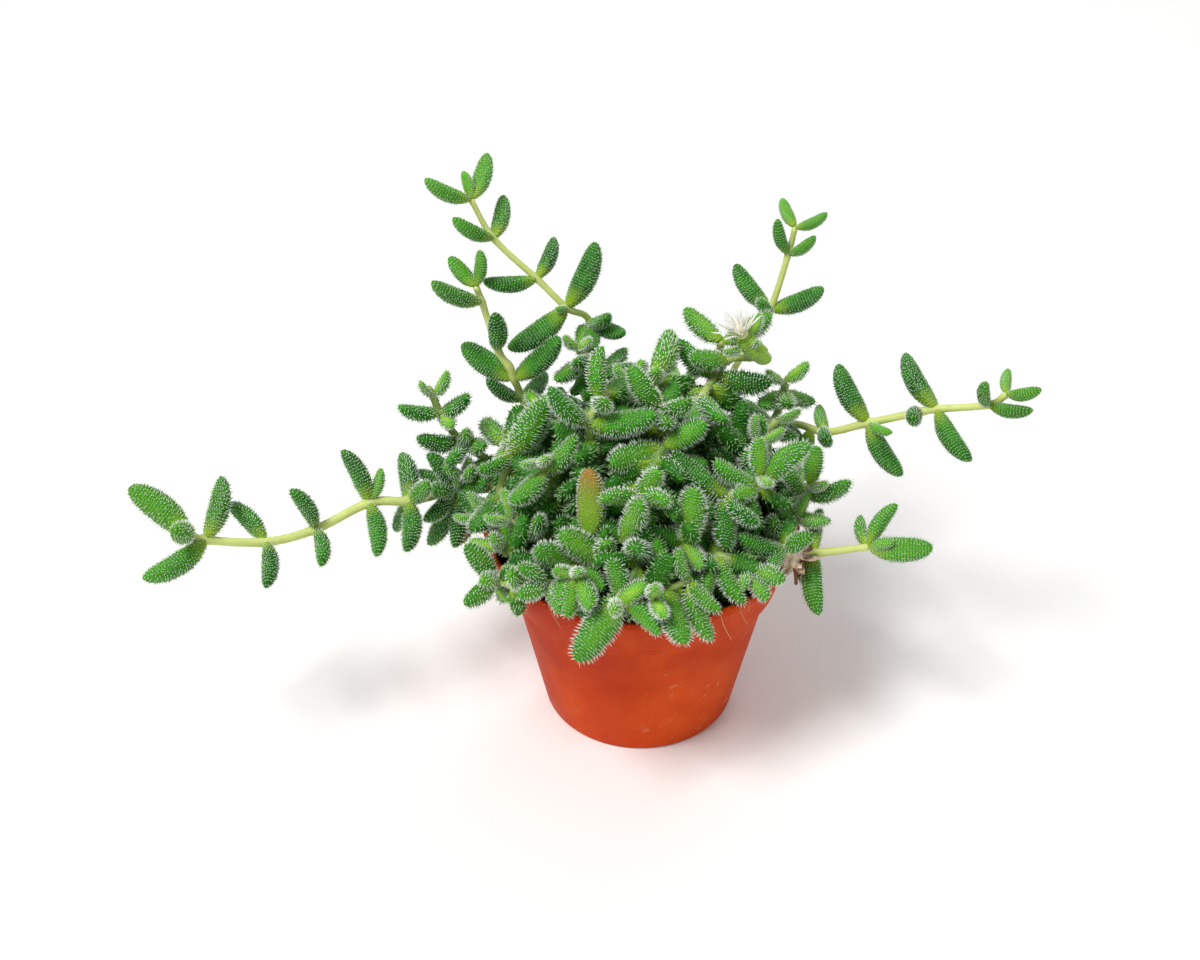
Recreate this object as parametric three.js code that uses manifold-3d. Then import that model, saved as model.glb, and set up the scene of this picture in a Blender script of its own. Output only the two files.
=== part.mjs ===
// A pickle plant in its round plastic nursery pot, in millimetres with +Z up.
// The origin is the centre of the pot's underside, and +Y points away from the front.
// The plant is a tuft of leafy stems rooted in potting soil. Each stem carries pairs of fleshy,
// pickle-shaped leaves, and each pair is turned a quarter turn from the one below it.
import * as THREE from "three";
import { mergeVertices } from "three/addons/utils/BufferGeometryUtils.js";
import Module from "manifold-3d";

const wasm = await Module();
wasm.setup();

// Pot: a tapered body with a wider collar
const POT_TOP_R = 45;
const POT_HEIGHT = 63;
const COLLAR_HEIGHT = 16;
const COLLAR_LOW_R = 39.8;
const BODY_TOP_R = 37.8;
const BASE_R = 28;
const WALL = 1.4;
const FLOOR = 2;
const POT_SIDES = 32;
const DRAIN_R = 3.2;
const DRAIN_RING_R = 17;
const DRAIN_HOLES = 6;
const DRAIN_SIDES = 8;

// Potting soil
const SOIL_TOP = 56;
const SOIL_LUMP = 0.9; // the height of its lumps
const LUMP_REACH = 1.4; // how far over its mean its top can stand, in lump heights
const SWELL = 0.31; // radians of its widest swell to a millimetre
const SOIL_SIDES = 24;
const SEAT_GAP = 0.35;
const HOLE_R = 1.9; // the hole that a stem stands in
const DRILL_RISE = 4; // how far over the soil the drill for a hole begins
const EDGE_SLACK = 0.05; // keeps the soil's coarser rim off the pot's wall

// Stems
const STEM_R = 1.25;
const STEM_TIP_SHARE = 0.75; // how much of its radius a stem keeps at its tip
const STEM_END = 1.3; // how far a stem runs on past its last joint
const STEM_SIDES = 4;
const STEM_STEP = 8;
const ROOT_DEPTH = 8;
const STEM_UPRIGHT = 1.5; // how far over the soil a stem stays upright
const STEM_ARCH = 0.12; // how high a stem arches on its way out, as a share of that way
const RIM_INSET = 4; // how far inside the rim a stem that leaves the pot passes over it
const RIM_RISE = 5; // and how far above the rim
const ROOT_FIELD_R = 36;
const ROOT_SPACING = 5;

// Leaves: radii are shares of a leaf's length
const LEAF_LENGTH = 16.5;
const LEAF_WIDE = 0.21;
const LEAF_THICK = 0.18;
const LEAF_FLAT = 0.65; // the share of its thickness that the upper face keeps
const LEAF_BOW = 0.05; // how far the middle bows away from the stem
const LEAF_SIDES = 5;
const LEAF_START = 0.5; // how far from the stem's axis a leaf begins, inside the stem
const LEAF_OUTLINE = [
  [0, 0],
  [0.14, 0],
  [1, 0.44],
  [0.76, 0.85],
  [0, 1],
];

// Bristles: few here, at their true size
const BRISTLE_LENGTH = 1.6;
const BRISTLE_R = 0.3;
const BRISTLE_EVERY = 2; // one leaf in this many carries one
const BRISTLE_BANDS = [0.92, 0.6]; // where along a leaf they stand, leaf by leaf
const BRISTLE_SINK = 0.4; // where their feet are, as a share of the leaf's radius
const BRISTLE_LEAN = 0.5; // how much they lean towards the leaf's tip
const BRISTLE_SPHERES = [0.7, 1]; // where along a bristle its free space is tried
const BRISTLE_CLEAR = 0.3; // and how much it needs there
const BRISTLE_FACES = [2, 0, 4, 1, 3]; // the order in which they take the faces round a leaf

// The tuft's round surface, which the leaves fill out to
const TUFT_CENTRE = new THREE.Vector3(0, 0, 62);
const TUFT_R = 44;

// The free space kept between pieces that are not joined
const CLEAR = 0.35;

// The viewpoint of the photograph, with its focal length in pixels
const EYE = new THREE.Vector3(0, -425, 396);
const AIM = new THREE.Vector3(-12, 7, 72);
const FOCAL = 1895;
const PICTURE_CENTRE = [600, 480];

const UP = new THREE.Vector3(0, 0, 1);
const forward = AIM.clone().sub(EYE).normalize();
const rightward = forward.clone().cross(UP).normalize();
const upward = rightward.clone().cross(forward);

// The direction in which the camera sees a pixel
function sightLine(px, py) {
  return forward
    .clone()
    .addScaledVector(rightward, (px - PICTURE_CENTRE[0]) / FOCAL)
    .addScaledVector(upward, (PICTURE_CENTRE[1] - py) / FOCAL)
    .normalize();
}

// The point seen at a pixel, out millimetres in front of the tuft's round surface. Beside the
// tuft, out is counted from where the sight line passes closest to the tuft's centre.
function seen(px, py, out) {
  const sight = sightLine(px, py);
  const closest = TUFT_CENTRE.clone().sub(EYE).dot(sight);
  const point = EYE.clone().addScaledVector(sight, closest);
  const inside = TUFT_R ** 2 - point.distanceToSquared(TUFT_CENTRE);
  return point.addScaledVector(sight, -Math.sqrt(Math.max(inside, 0)) - out);
}

// The tip of a leaf of a known length, from the pixel where the tip shows. side is 1 for a leaf
// that points towards the camera and -1 for one that points away.
function tipSeen(base, px, py, side, length) {
  const sight = sightLine(px, py);
  const closest = base.clone().sub(EYE).dot(sight);
  const foot = EYE.clone().addScaledVector(sight, closest);
  const spare = length ** 2 - foot.distanceToSquared(base);
  return foot.addScaledVector(sight, -side * Math.sqrt(Math.max(spare, 0)));
}

// The stems that show in the photograph, from the soil outwards. Each joint is
// [pixel x, pixel y, out, ...leaves] and each leaf is [pixel x, pixel y, side, length].
const TRACED = [
  {
    name: "left_trailer",
    joints: [
      [452, 492, -10, [428, 455, 1], [455, 548, 1]],
      [409, 501, 0, [401, 453, -1], [407, 551, 1]],
      [369, 503, 2, [342, 450, -1], [377, 556, 1], [381, 468, 1, 9]],
      [316, 529, 4, [291, 490, 1, 15], [321, 565, 1, 14]],
      [266, 542, 5, [228, 503, -1, 15], [266, 587, 1, 15]],
      [206, 540, 7, [222, 476, -1, 18], [143, 579, 1, 20]],
      [189, 534, 8, [172, 530, 1, 14], [129, 487, -1, 20]],
    ],
  },
  {
    name: "tall_left_shoot",
    joints: [
      [590, 322, -16, [625, 334, 1, 13]],
      [567, 308, -10, [596, 242, -1, 19], [508, 349, 1, 18]],
      [537, 279, -8, [554, 237, -1, 14], [483, 281, 1, 16]],
      [494, 239, -6, [503, 195, -1, 14], [453, 218, 1, 14]],
      [471, 200, -4, [425, 179, 1, 15], [487, 153, -1, 15], [463, 171, 1, 7]],
    ],
  },
  {
    name: "upper_left_shoot",
    joints: [
      [523, 400, -14, [487, 379, 1, 14]],
      [514, 379, -8, [562, 331, 1, 19], [444, 364, 1, 19]],
      [509, 366, -6, [446, 348, -1, 18], [546, 326, -1, 17]],
      [498, 350, -5, [494, 313, 1, 14]],
      [482, 302, -3, [432, 282, 1, 17], [505, 257, -1, 14]],
      [476, 287, -1, [441, 263, -1, 12], [480, 250, 1, 11]],
    ],
  },
  {
    name: "left_tuft_shoot",
    joints: [
      [462, 442, -8, [417, 437, 1, 15], [484, 446, 1, 12]],
      [440, 412, -3, [399, 407, 1, 14], [468, 396, 1, 13], [452, 426, 1, 9]],
      [433, 396, 0, [447, 372, 1, 10], [423, 379, 1, 7]],
      [428, 388, 2, [403, 368, 1, 10]],
    ],
  },
  {
    name: "low_left_shoot",
    joints: [
      [545, 584, 2, [519, 568, 1, 12], [560, 612, 1, 12]],
      [519, 586, 9],
      [495, 580, 19, [465, 545, 1, 14], [464, 604, 1, 13]],
      [488, 580, 20, [483, 590, 1, 11], [510, 603, -1, 9]],
    ],
  },
  {
    name: "front_shoot",
    joints: [
      [640, 560, -9, [634, 548, 1, 15]],
      [622, 600, 1, [576, 661, 1, 19], [612, 560, 1, 13], [660, 634, 1, 14]],
      [616, 604, 5, [611, 612, 1, 9], [646, 583, 1, 10]],
    ],
  },
  {
    name: "front_right_shoot",
    joints: [
      [668, 588, -3, [685, 643, 1, 18], [650, 540, 1, 14]],
      [690, 580, -1, [712, 641, 1, 17], [678, 551, 1, 11]],
    ],
  },
  {
    name: "front_low_right_shoot",
    joints: [
      [720, 556, -4, [701, 616, 1, 17], [733, 600, -1, 13]],
      [752, 572, 0, [785, 580, 1, 12], [733, 592, 1, 10]],
    ],
  },
  {
    name: "lower_right_shoot",
    joints: [
      [786, 550, 6, [738, 535, 1, 16], [812, 535, 1, 12]],
      [815, 553, 8, [821, 510, -1, 15], [819, 615, 1, 18]],
      [868, 547, 10, [861, 516, -1, 12], [933, 548, 1, 17], [897, 504, -1, 14], [901, 552, 1, 9]],
    ],
  },
  {
    name: "right_trailer",
    joints: [
      [790, 425, -26, [803, 440, 1, 13]],
      [826, 432, -12, [830, 441, 1, 13], [820, 405, -1, 11]],
      [868, 423, -6, [838, 364, -1, 19], [902, 476, 1, 17], [892, 432, 1, 9]],
      [920, 412, -3, [914, 419, 1, 13]],
      [937, 409, -2, [905, 353, -1, 19], [971, 461, 1, 18]],
      [988, 405, 0, [986, 384, 1, 12], [1033, 410, 1, 13]],
      [1006, 395, 1, [1009, 369, -1, 9], [1040, 394, 1, 11]],
    ],
  },
  {
    name: "tall_right_shoot",
    joints: [
      [748, 345, -30],
      [770, 310, -24, [735, 264, -1, 17], [824, 288, 1, 15], [762, 300, 1, 12]],
      [788, 255, -22, [778, 219, 1, 12], [815, 236, 1, 11]],
      [795, 228, -20, [782, 198, -1, 10], [827, 213, 1, 11]],
    ],
  },
  {
    name: "flower_shoot",
    joints: [
      [703, 396, -9, [657, 450, 1, 19]],
      [716, 378, -4, [772, 382, 1, 17], [678, 340, 1, 15]],
      [728, 360, -2, [692, 357, 1, 14]],
      [753, 358, 0],
    ],
  },
  {
    name: "crown_shoot",
    joints: [
      [589, 424, -7, [656, 414, 1, 20], [550, 388, 1, 17]],
      [600, 404, -2, [612, 404, 1, 12], [602, 346, -1, 15]],
      [606, 390, 3, [592, 369, 1, 8], [621, 365, 1, 9]],
    ],
  },
  {
    name: "back_crown_shoot",
    joints: [
      [600, 372, -14, [634, 366, 1, 14]],
      [584, 358, -9, [576, 361, 1, 12], [598, 322, -1, 13]],
      [578, 348, -5, [564, 337, 1, 7], [590, 340, 1, 7]],
    ],
  },
  {
    name: "top_shoot",
    joints: [
      [661, 410, -9, [631, 366, 1, 16], [668, 424, 1, 12]],
      [652, 380, -6, [657, 369, 1, 10], [671, 331, -1, 18]],
    ],
  },
  {
    name: "right_crown_shoot",
    joints: [
      [772, 424, -18, [757, 424, 1, 13], [794, 436, 1, 13]],
      [784, 392, -12, [788, 404, 1, 12], [815, 401, -1, 12]],
      [784, 381, -9, [808, 363, 1, 10], [768, 372, 1, 8]],
    ],
  },
  {
    name: "right_middle_shoot",
    joints: [
      [729, 496, -8, [672, 453, 1, 19], [727, 548, 1, 16]],
      [758, 486, -3, [715, 461, 1, 15], [810, 444, 1, 17]],
      [761, 476, 2, [759, 438, 1, 11], [770, 484, 1, 7]],
    ],
  },
  {
    name: "right_side_shoot",
    joints: [
      [797, 514, 4],
      [806, 497, 2, [784, 455, 1, 14], [850, 481, 1, 15]],
      [810, 486, 6, [817, 446, 1, 12], [825, 483, 1, 8]],
    ],
  },
  {
    name: "front_left_shoot",
    joints: [
      [574, 566, -7, [536, 549, 1, 15], [604, 588, 1, 12]],
      [577, 578, -1, [590, 607, 1, 13], [585, 578, 1, 9], [560, 566, 1, 9]],
    ],
  },
  {
    name: "front_inner_shoot",
    joints: [[604, 562, -9, [557, 540, 1, 16], [608, 542, 1, 12]]],
  },
  {
    name: "behind_flower_shoot",
    joints: [
      [718, 356, -15, [700, 372, 1, 13]],
      [722, 342, -12, [685, 308, -1, 15], [771, 314, 1, 17]],
    ],
  },
  {
    name: "middle_shoot",
    joints: [
      [663, 448, -13, [610, 464, 1, 17], [716, 440, 1, 16]],
      [640, 500, -8, [667, 502, 1, 13], [600, 500, 1, 13]],
    ],
  },
  {
    name: "orange_tip_shoot",
    joints: [[588, 538, -9, [595, 471, 1, 20], [572, 596, 1, 17]]],
  },
  {
    name: "pale_rib_shoot",
    joints: [[622, 540, -7, [638, 480, 1, 18], [598, 572, 1, 14]]],
  },
  {
    name: "straight_leaf_shoot",
    joints: [[685, 544, -8, [694, 488, 1, 17], [690, 574, 1, 12]]],
  },
  {
    name: "white_bud_shoot",
    joints: [
      [545, 472, -9, [575, 438, 1, 15], [512, 502, 1, 15]],
      [540, 460, -4, [546, 458, 1, 8], [522, 464, 1, 7]],
    ],
  },
  {
    name: "left_face_shoot",
    joints: [
      [500, 494, -9, [472, 530, 1, 17], [533, 528, 1, 15]],
      [512, 456, -6, [545, 400, 1, 19], [478, 470, 1, 12]],
      [506, 446, -1, [495, 466, 1, 7], [508, 440, 1, 7]],
    ],
  },
  {
    name: "left_low_face_shoot",
    joints: [
      [470, 488, -14, [432, 474, 1, 14], [458, 545, 1, 17]],
      [462, 474, -8, [470, 470, 1, 11], [440, 500, 1, 13]],
    ],
  },
];

// The bloom: it faces from its calyx's foot to the pixel of its centre
const FLOWER = { stem: "flower_shoot", foot: [753, 358, 0], centre: [739, 328, 6] };
const CALYX_OUTLINE = [
  [0, 0],
  [2.3, 0.8],
  [3.9, 4],
  [3.2, 7.2],
  [1.8, 8],
  [0, 8],
];
const CALYX_SIDES = 7;
const SEPALS = 4;
const SEPAL_LENGTH = 6.5;
const SEPAL_FOOT = 0.7; // how far up the calyx they begin
const SEPAL_INSET = 2; // and how far from its axis
const SEPAL_LEAN = 57; // degrees from the calyx's axis
const EYE_R = 1.7; // the yellow middle of the bloom
const EYE_OUTLINE = [
  [0, 0],
  [EYE_R, 0],
  [EYE_R, 0.8],
  [0.6 * EYE_R, 1.5],
  [0, 1.5],
];
const EYE_SIDES = 8;
const PETALS = 15;
const PETAL_LENGTH = 6;
const PETAL_WIDTH = 1.15;
const PETAL_THICK = 0.6;
const PETAL_SHORT = 0.86; // the length of every second petal, as a share of the others'
const PETAL_RISE = 38; // degrees above flat
const PETAL_STEP = 16; // how much steeper every second petal stands
const PETAL_FOOT = 0.65; // how high in the yellow middle the petals begin

// A bloom that has dried to a brown husk, at a joint of its stem
const DRY_BLOOM = { stem: "lower_right_shoot", joint: 0, at: [797, 562, 10] };
const HUSK_OUTLINE = [
  [0, 0],
  [0.5, 0],
  [0.6, 1.4],
  [2.7, 3.2],
  [2.2, 6],
  [0, 5],
];
const HUSK_SIDES = 6;

// The stems that fill the tuft where the photograph's leaves hide them
const FILL_TRIES = 160;
const FILL_SPACING = 6.6;
const GOLDEN_ANGLE = Math.PI * (3 - Math.sqrt(5));
const FILL_LEAN = 62; // degrees from upright at the edge of the soil
const FILL_JOINTS = 7; // the most joints that one has
const FILL_LEAST = 4; // the fewest points that one is grown with
const FILL_SPREAD = 51; // how far out from the pot's middle they end
const FILL_RISE = 41; // how far above the rim they end
const FILL_PAIRS = [
  { open: 72, length: 17 },
  { open: 60, length: 16 },
  { open: 46, length: 13 },
  { open: 28, length: 8.5 },
];

// Draws that come out the same each time, from a seed on: a linear congruential row
const ROW_FACTOR = 1664525;
const ROW_STEP = 1013904223;
const ROW_LENGTH = 2 ** 32;
let seed = 23;
function draw(low, high) {
  seed = (Math.imul(seed, ROW_FACTOR) + ROW_STEP) >>> 0;
  return low + ((high - low) * seed) / ROW_LENGTH;
}

const radians = (degrees) => (degrees * Math.PI) / 180;

// A unit vector square to axis, as close as can be to wanted
function squareTo(axis, wanted) {
  return wanted.clone().addScaledVector(axis, -wanted.dot(axis)).normalize();
}

// The space taken so far, as spheres
const taken = [];

// The spheres that stand for a leaf, from its base to its tip
const LEAF_SPHERES = [0.12, 0.3, 0.47, 0.64, 0.8, 0.92];
const LEAF_SPHERE_R = [0.115, 0.165, 0.185, 0.18, 0.145, 0.09];
const FREE_SHARE = 0.4; // a leaf may touch its own stem's pieces nearer its base than this

function leafSpheres(leaf, node) {
  return LEAF_SPHERES.map((share, i) => ({
    at: leaf.base.clone().lerp(leaf.tip, share),
    r: LEAF_SPHERE_R[i] * leaf.length,
    node,
    root: share < FREE_SHARE,
  }));
}

function stemSpheres(points, node) {
  const curve = stemCurve(points);
  const count = (points.length - 1) * 4;
  return Array.from({ length: count + 1 }, (_, i) => ({
    at: curve.getPoint(i / count),
    r: STEM_R,
    node,
    root: true,
  }));
}

// How far a point is from the middle of the collar's wall
const COLLAR_FOOT = new THREE.Vector2(COLLAR_LOW_R - WALL / 2, POT_HEIGHT - COLLAR_HEIGHT);
const COLLAR_TOP = new THREE.Vector2(POT_TOP_R - WALL / 2, POT_HEIGHT);

function collarDistance({ x, y, z }) {
  const point = new THREE.Vector2(Math.hypot(x, y), z);
  const wall = COLLAR_TOP.clone().sub(COLLAR_FOOT);
  const share = point.clone().sub(COLLAR_FOOT).dot(wall) / wall.lengthSq();
  return point.distanceTo(COLLAR_FOOT.clone().lerp(COLLAR_TOP, Math.min(Math.max(share, 0), 1)));
}

function isClear(spheres, reach) {
  if (spheres.some((s) => collarDistance(s.at) < s.r + WALL / 2 + reach)) return false;
  return spheres.every((s) =>
    taken.every((t) => {
      if (s.node === t.node && (s.root || t.root)) return true;
      return s.at.distanceTo(t.at) > s.r + t.r + reach;
    }),
  );
}

// Whether a sphere is over the soil or outside the pot
function aboveSoil({ at, r }) {
  return Math.hypot(at.x, at.y) > POT_TOP_R || at.z - r > SOIL_TOP + LUMP_REACH * SOIL_LUMP;
}

function stemCurve(points) {
  return new THREE.CatmullRomCurve3(points, false, "catmullrom", 0.5);
}

// Small turns and shortenings that are tried until a leaf is clear of its neighbours
const NUDGES = [
  [0, 0, 1],
  [8, 0, 1],
  [-8, 0, 1],
  [0, 8, 1],
  [0, -8, 1],
  [14, 8, 0.95],
  [-14, 8, 0.95],
  [14, -8, 0.95],
  [-14, -8, 0.95],
  [0, 0, 0.88],
  [20, 12, 0.88],
  [-20, 12, 0.88],
  [20, -12, 0.88],
  [-20, -12, 0.88],
  [0, 22, 0.82],
  [0, -22, 0.82],
  [28, 0, 0.82],
  [-28, 0, 0.82],
  [0, 0, 0.74],
];

// The leaf turned about its stem and tilted up the stem by a nudge
function nudged(base, tip, along, nudge) {
  const [turn, lift, share] = nudge;
  const arm = tip.clone().sub(base);
  const length = arm.length() * share;
  const across = arm.clone().cross(along).normalize();
  arm.applyAxisAngle(along, radians(turn)).applyAxisAngle(across, radians(lift)).setLength(length);
  return { base, tip: base.clone().add(arm), length, face: squareTo(arm.clone().normalize(), along) };
}

// Adds a leaf where one of the nudges leaves it clear, and otherwise leaves it out
function addLeaf(stem, joint, base, tip, along) {
  for (const nudge of NUDGES) {
    const leaf = nudged(base, tip, along, nudge);
    const spheres = leafSpheres(leaf, stem.name);
    if (spheres.every(aboveSoil) && isClear(spheres, CLEAR)) {
      taken.push(...spheres);
      stem.leaves.push({ ...leaf, joint });
      return;
    }
  }
}

// The way of a stem inside the tuft: upright in its hole, then over to its first joint, and over
// the rim where the joint is outside the pot
function wayOut(root, joint) {
  const mid = root.clone().lerp(joint, 0.5);
  const out = Math.hypot(joint.x, joint.y);
  mid.z += STEM_ARCH * root.distanceTo(joint);
  if (out > POT_TOP_R) {
    const share = (POT_TOP_R - RIM_INSET) / out;
    mid.set(joint.x * share, joint.y * share, Math.max(POT_HEIGHT + RIM_RISE, mid.z));
  }
  return [
    new THREE.Vector3(root.x, root.y, SOIL_TOP - ROOT_DEPTH),
    new THREE.Vector3(root.x, root.y, SOIL_TOP + STEM_UPRIGHT),
    mid,
  ];
}

// A stem's root lies under its first joint, drawn in towards the middle of the pot and moved
// round until the stem clears those that were planted before it
const ROOT_TURNS = [0, 12, -12, 24, -24, 36, -36, 48, -48];
const ROOT_SHARES = [0.62, 0.75, 0.48, 0.86, 0.34];

function planted(name, joints) {
  const out = Math.hypot(joints[0].x, joints[0].y);
  for (const share of ROOT_SHARES)
    for (const turn of ROOT_TURNS) {
      const r = Math.min(share * out, ROOT_FIELD_R);
      const angle = Math.atan2(joints[0].y, joints[0].x) + radians(turn);
      const root = new THREE.Vector3(r * Math.cos(angle), r * Math.sin(angle), SOIL_TOP);
      const points = [...wayOut(root, joints[0]), ...joints];
      const spheres = stemSpheres(points, name);
      if (stems.every((s) => s.root.distanceTo(root) > ROOT_SPACING) && isClear(spheres, CLEAR)) {
        taken.push(...spheres);
        return { name, root, points, first: points.length - joints.length, leaves: [] };
      }
    }
  throw new Error(name + " finds no place to root");
}

const stems = [];

for (const { name, joints } of TRACED)
  stems.push(planted(name, joints.map(([px, py, out]) => seen(px, py, out))));
stems.forEach((stem, i) => {
  TRACED[i].joints.forEach(([, , , ...leaves], j) => {
    const at = stem.first + j;
    const base = stem.points[at];
    const next = stem.points[Math.min(at + 1, stem.points.length - 1)];
    const along = next.clone().sub(stem.points[at - 1]).normalize();
    for (const [px, py, side, length = LEAF_LENGTH] of leaves)
      addLeaf(stem, at, base, tipSeen(base, px, py, side, length), along);
  });
});

// The points of a stem that grows from root, leaning outwards more and more
function grown(root, lean) {
  const heading = Math.atan2(root.y, root.x) + radians(draw(-18, 18));
  const outwards = new THREE.Vector3(Math.cos(heading), Math.sin(heading), 0);
  const points = [
    new THREE.Vector3(root.x, root.y, SOIL_TOP - ROOT_DEPTH),
    new THREE.Vector3(root.x, root.y, SOIL_TOP + STEM_UPRIGHT),
  ];
  for (let k = 1; k <= FILL_JOINTS; k += 1) {
    const tilt = radians(lean * Math.min(1, 0.35 + 0.2 * k));
    const step = UP.clone().multiplyScalar(Math.cos(tilt)).addScaledVector(outwards, Math.sin(tilt));
    const next = points.at(-1).clone().addScaledVector(step, STEM_STEP * draw(0.9, 1.1));
    const spread = Math.hypot(next.x, next.y) / FILL_SPREAD;
    if (Math.hypot(spread, (next.z - POT_HEIGHT) / FILL_RISE) > 1) break;
    points.push(next);
  }
  return points;
}

for (let i = 0; i < FILL_TRIES; i += 1) {
  const r = ROOT_FIELD_R * Math.sqrt(1 - i / FILL_TRIES);
  const root = new THREE.Vector3(r * Math.cos(i * GOLDEN_ANGLE), r * Math.sin(i * GOLDEN_ANGLE), SOIL_TOP);
  if (stems.some((s) => s.root.distanceTo(root) < FILL_SPACING)) continue;
  const points = grown(root, (FILL_LEAN * r) / ROOT_FIELD_R + draw(-6, 6));
  const name = "tuft_shoot_" + (stems.length + 1 - TRACED.length);
  if (points.length < FILL_LEAST || !isClear(stemSpheres(points, name), CLEAR)) continue;
  const stem = { name, root, points, first: 2, leaves: [] };
  stems.push(stem);
  taken.push(...stemSpheres(points, name));
  const turn = draw(0, 180);
  for (let k = points.length - 1; k >= Math.max(2, points.length - FILL_PAIRS.length); k -= 1) {
    const young = points.length - 1 - k;
    const { open, length } = FILL_PAIRS[FILL_PAIRS.length - 1 - young];
    const next = points[Math.min(k + 1, points.length - 1)];
    const along = next.clone().sub(points[k - 1]).normalize();
    const side = squareTo(along, new THREE.Vector3(1, 0.3, 0));
    side.applyAxisAngle(along, radians(turn + 90 * k + draw(-10, 10)));
    for (const way of [1, -1]) {
      const angle = radians(open + draw(-6, 6));
      const arm = along.clone().multiplyScalar(Math.cos(angle));
      arm.addScaledVector(side, way * Math.sin(angle)).setLength(length * draw(0.9, 1.08));
      addLeaf(stem, k, points[k], points[k].clone().add(arm), along);
    }
  }
}

// A closed geometry as a solid, and a solid as a geometry
function solid(geometry) {
  const plain = new THREE.BufferGeometry();
  plain.setAttribute("position", geometry.getAttribute("position").clone());
  plain.setIndex(geometry.index);
  const merged = mergeVertices(plain, 1e-4);
  return new wasm.Manifold(
    new wasm.Mesh({
      numProp: 3,
      vertProperties: merged.attributes.position.array,
      triVerts: new Uint32Array(merged.index.array),
    }),
  );
}

function geometryOf(made) {
  const { vertProperties, triVerts } = made.getMesh();
  const geometry = new THREE.BufferGeometry();
  geometry.setAttribute("position", new THREE.BufferAttribute(vertProperties, 3));
  geometry.setIndex(new THREE.BufferAttribute(triVerts, 1));
  return geometry;
}

const group = new THREE.Group();

function addPiece(name, geometry, color, roughness) {
  const material = new THREE.MeshStandardMaterial({ color, roughness, metalness: 0 });
  const mesh = new THREE.Mesh(geometry, material);
  mesh.name = name;
  group.add(mesh);
}

// A lathed shape turned so that its axis is +Z
function lathe(profile, sides) {
  const points = profile.map(([r, z]) => new THREE.Vector2(r, z));
  return new THREE.LatheGeometry(points, sides).rotateX(Math.PI / 2);
}

// Moves each vertex of a geometry to the place that a rule gives for it
function reshape(geometry, rule) {
  const at = geometry.getAttribute("position");
  const v = new THREE.Vector3();
  for (let i = 0; i < at.count; i += 1) {
    rule(v.fromBufferAttribute(at, i));
    at.setXYZ(i, v.x, v.y, v.z);
  }
  return geometry;
}

// Where a point of a leaf lies: across and through are shares of its outline, up is the share of
// its length. It is widened across, flattened on its upper face and bowed away from the stem.
function leafPoint({ base, tip, length, face }, across, through, up) {
  const axis = tip.clone().sub(base).divideScalar(length);
  const wide = across * LEAF_WIDE * length;
  const thick = through * LEAF_THICK * length * (through > 0 ? LEAF_FLAT : 1);
  const bow = -LEAF_BOW * length * Math.sin(Math.PI * up);
  return base
    .clone()
    .addScaledVector(axis, LEAF_START + up * (length - LEAF_START))
    .addScaledVector(face.clone().cross(axis), wide)
    .addScaledVector(face, thick + bow);
}

// A single leaf, lathed from the outline
function leafSolid(leaf) {
  return solid(reshape(lathe(LEAF_OUTLINE, LEAF_SIDES), (v) => v.copy(leafPoint(leaf, v.x, v.y, v.z))));
}

// A stem: a tapering rod bent along its curve, whose sides follow the bends without twisting
function stemSolid({ points }) {
  const curve = stemCurve(points);
  const steps = points.length - 1;
  const frames = [];
  for (let i = 0; i <= steps; i += 1) {
    const along = curve.getTangent(i / steps);
    const side = squareTo(along, i ? frames[i - 1].side : new THREE.Vector3(1, 0, 0));
    frames.push({ at: curve.getPoint(i / steps), along, side, up: along.clone().cross(side) });
  }
  frames[steps].at.addScaledVector(frames[steps].along, STEM_END);
  const tipR = STEM_TIP_SHARE * STEM_R;
  const rod = new THREE.CylinderGeometry(tipR, STEM_R, 1, STEM_SIDES, steps).rotateX(Math.PI / 2);
  return solid(
    reshape(rod, (v) => {
      const { at, side, up } = frames[Math.round((v.z + 0.5) * steps)];
      const { x, y } = v;
      v.copy(at).addScaledVector(side, x).addScaledVector(up, y);
    }),
  );
}

// The foot and the facing of the bloom
const calyxFoot = seen(...FLOWER.foot);
const bloomAxis = seen(...FLOWER.centre).sub(calyxFoot).normalize();
const calyxHeight = CALYX_OUTLINE.at(-1)[1];
const bloomSide = squareTo(bloomAxis, rightward);

// Turns and moves a geometry that stands on the origin so that it stands on foot along axis
function stood(geometry, foot, axis) {
  const turn = new THREE.Quaternion().setFromUnitVectors(UP, axis);
  return geometry.applyQuaternion(turn).translate(foot.x, foot.y, foot.z);
}

// The swollen green body under the bloom
function calyxSolid() {
  return solid(stood(lathe(CALYX_OUTLINE, CALYX_SIDES), calyxFoot, bloomAxis));
}

// The fleshy tips round the top of the calyx, which are small leaves
const sepals = Array.from({ length: SEPALS }, (_, i) => {
  const side = bloomSide.clone().applyAxisAngle(bloomAxis, ((i + 0.5) / SEPALS) * 2 * Math.PI);
  const base = calyxFoot.clone().addScaledVector(bloomAxis, SEPAL_FOOT * calyxHeight);
  base.addScaledVector(side, SEPAL_INSET);
  const arm = bloomAxis.clone().multiplyScalar(Math.cos(radians(SEPAL_LEAN)));
  arm.addScaledVector(side, Math.sin(radians(SEPAL_LEAN))).setLength(SEPAL_LENGTH);
  const tip = base.clone().add(arm);
  return { base, tip, length: SEPAL_LENGTH, face: squareTo(arm.normalize(), bloomAxis) };
});

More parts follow.
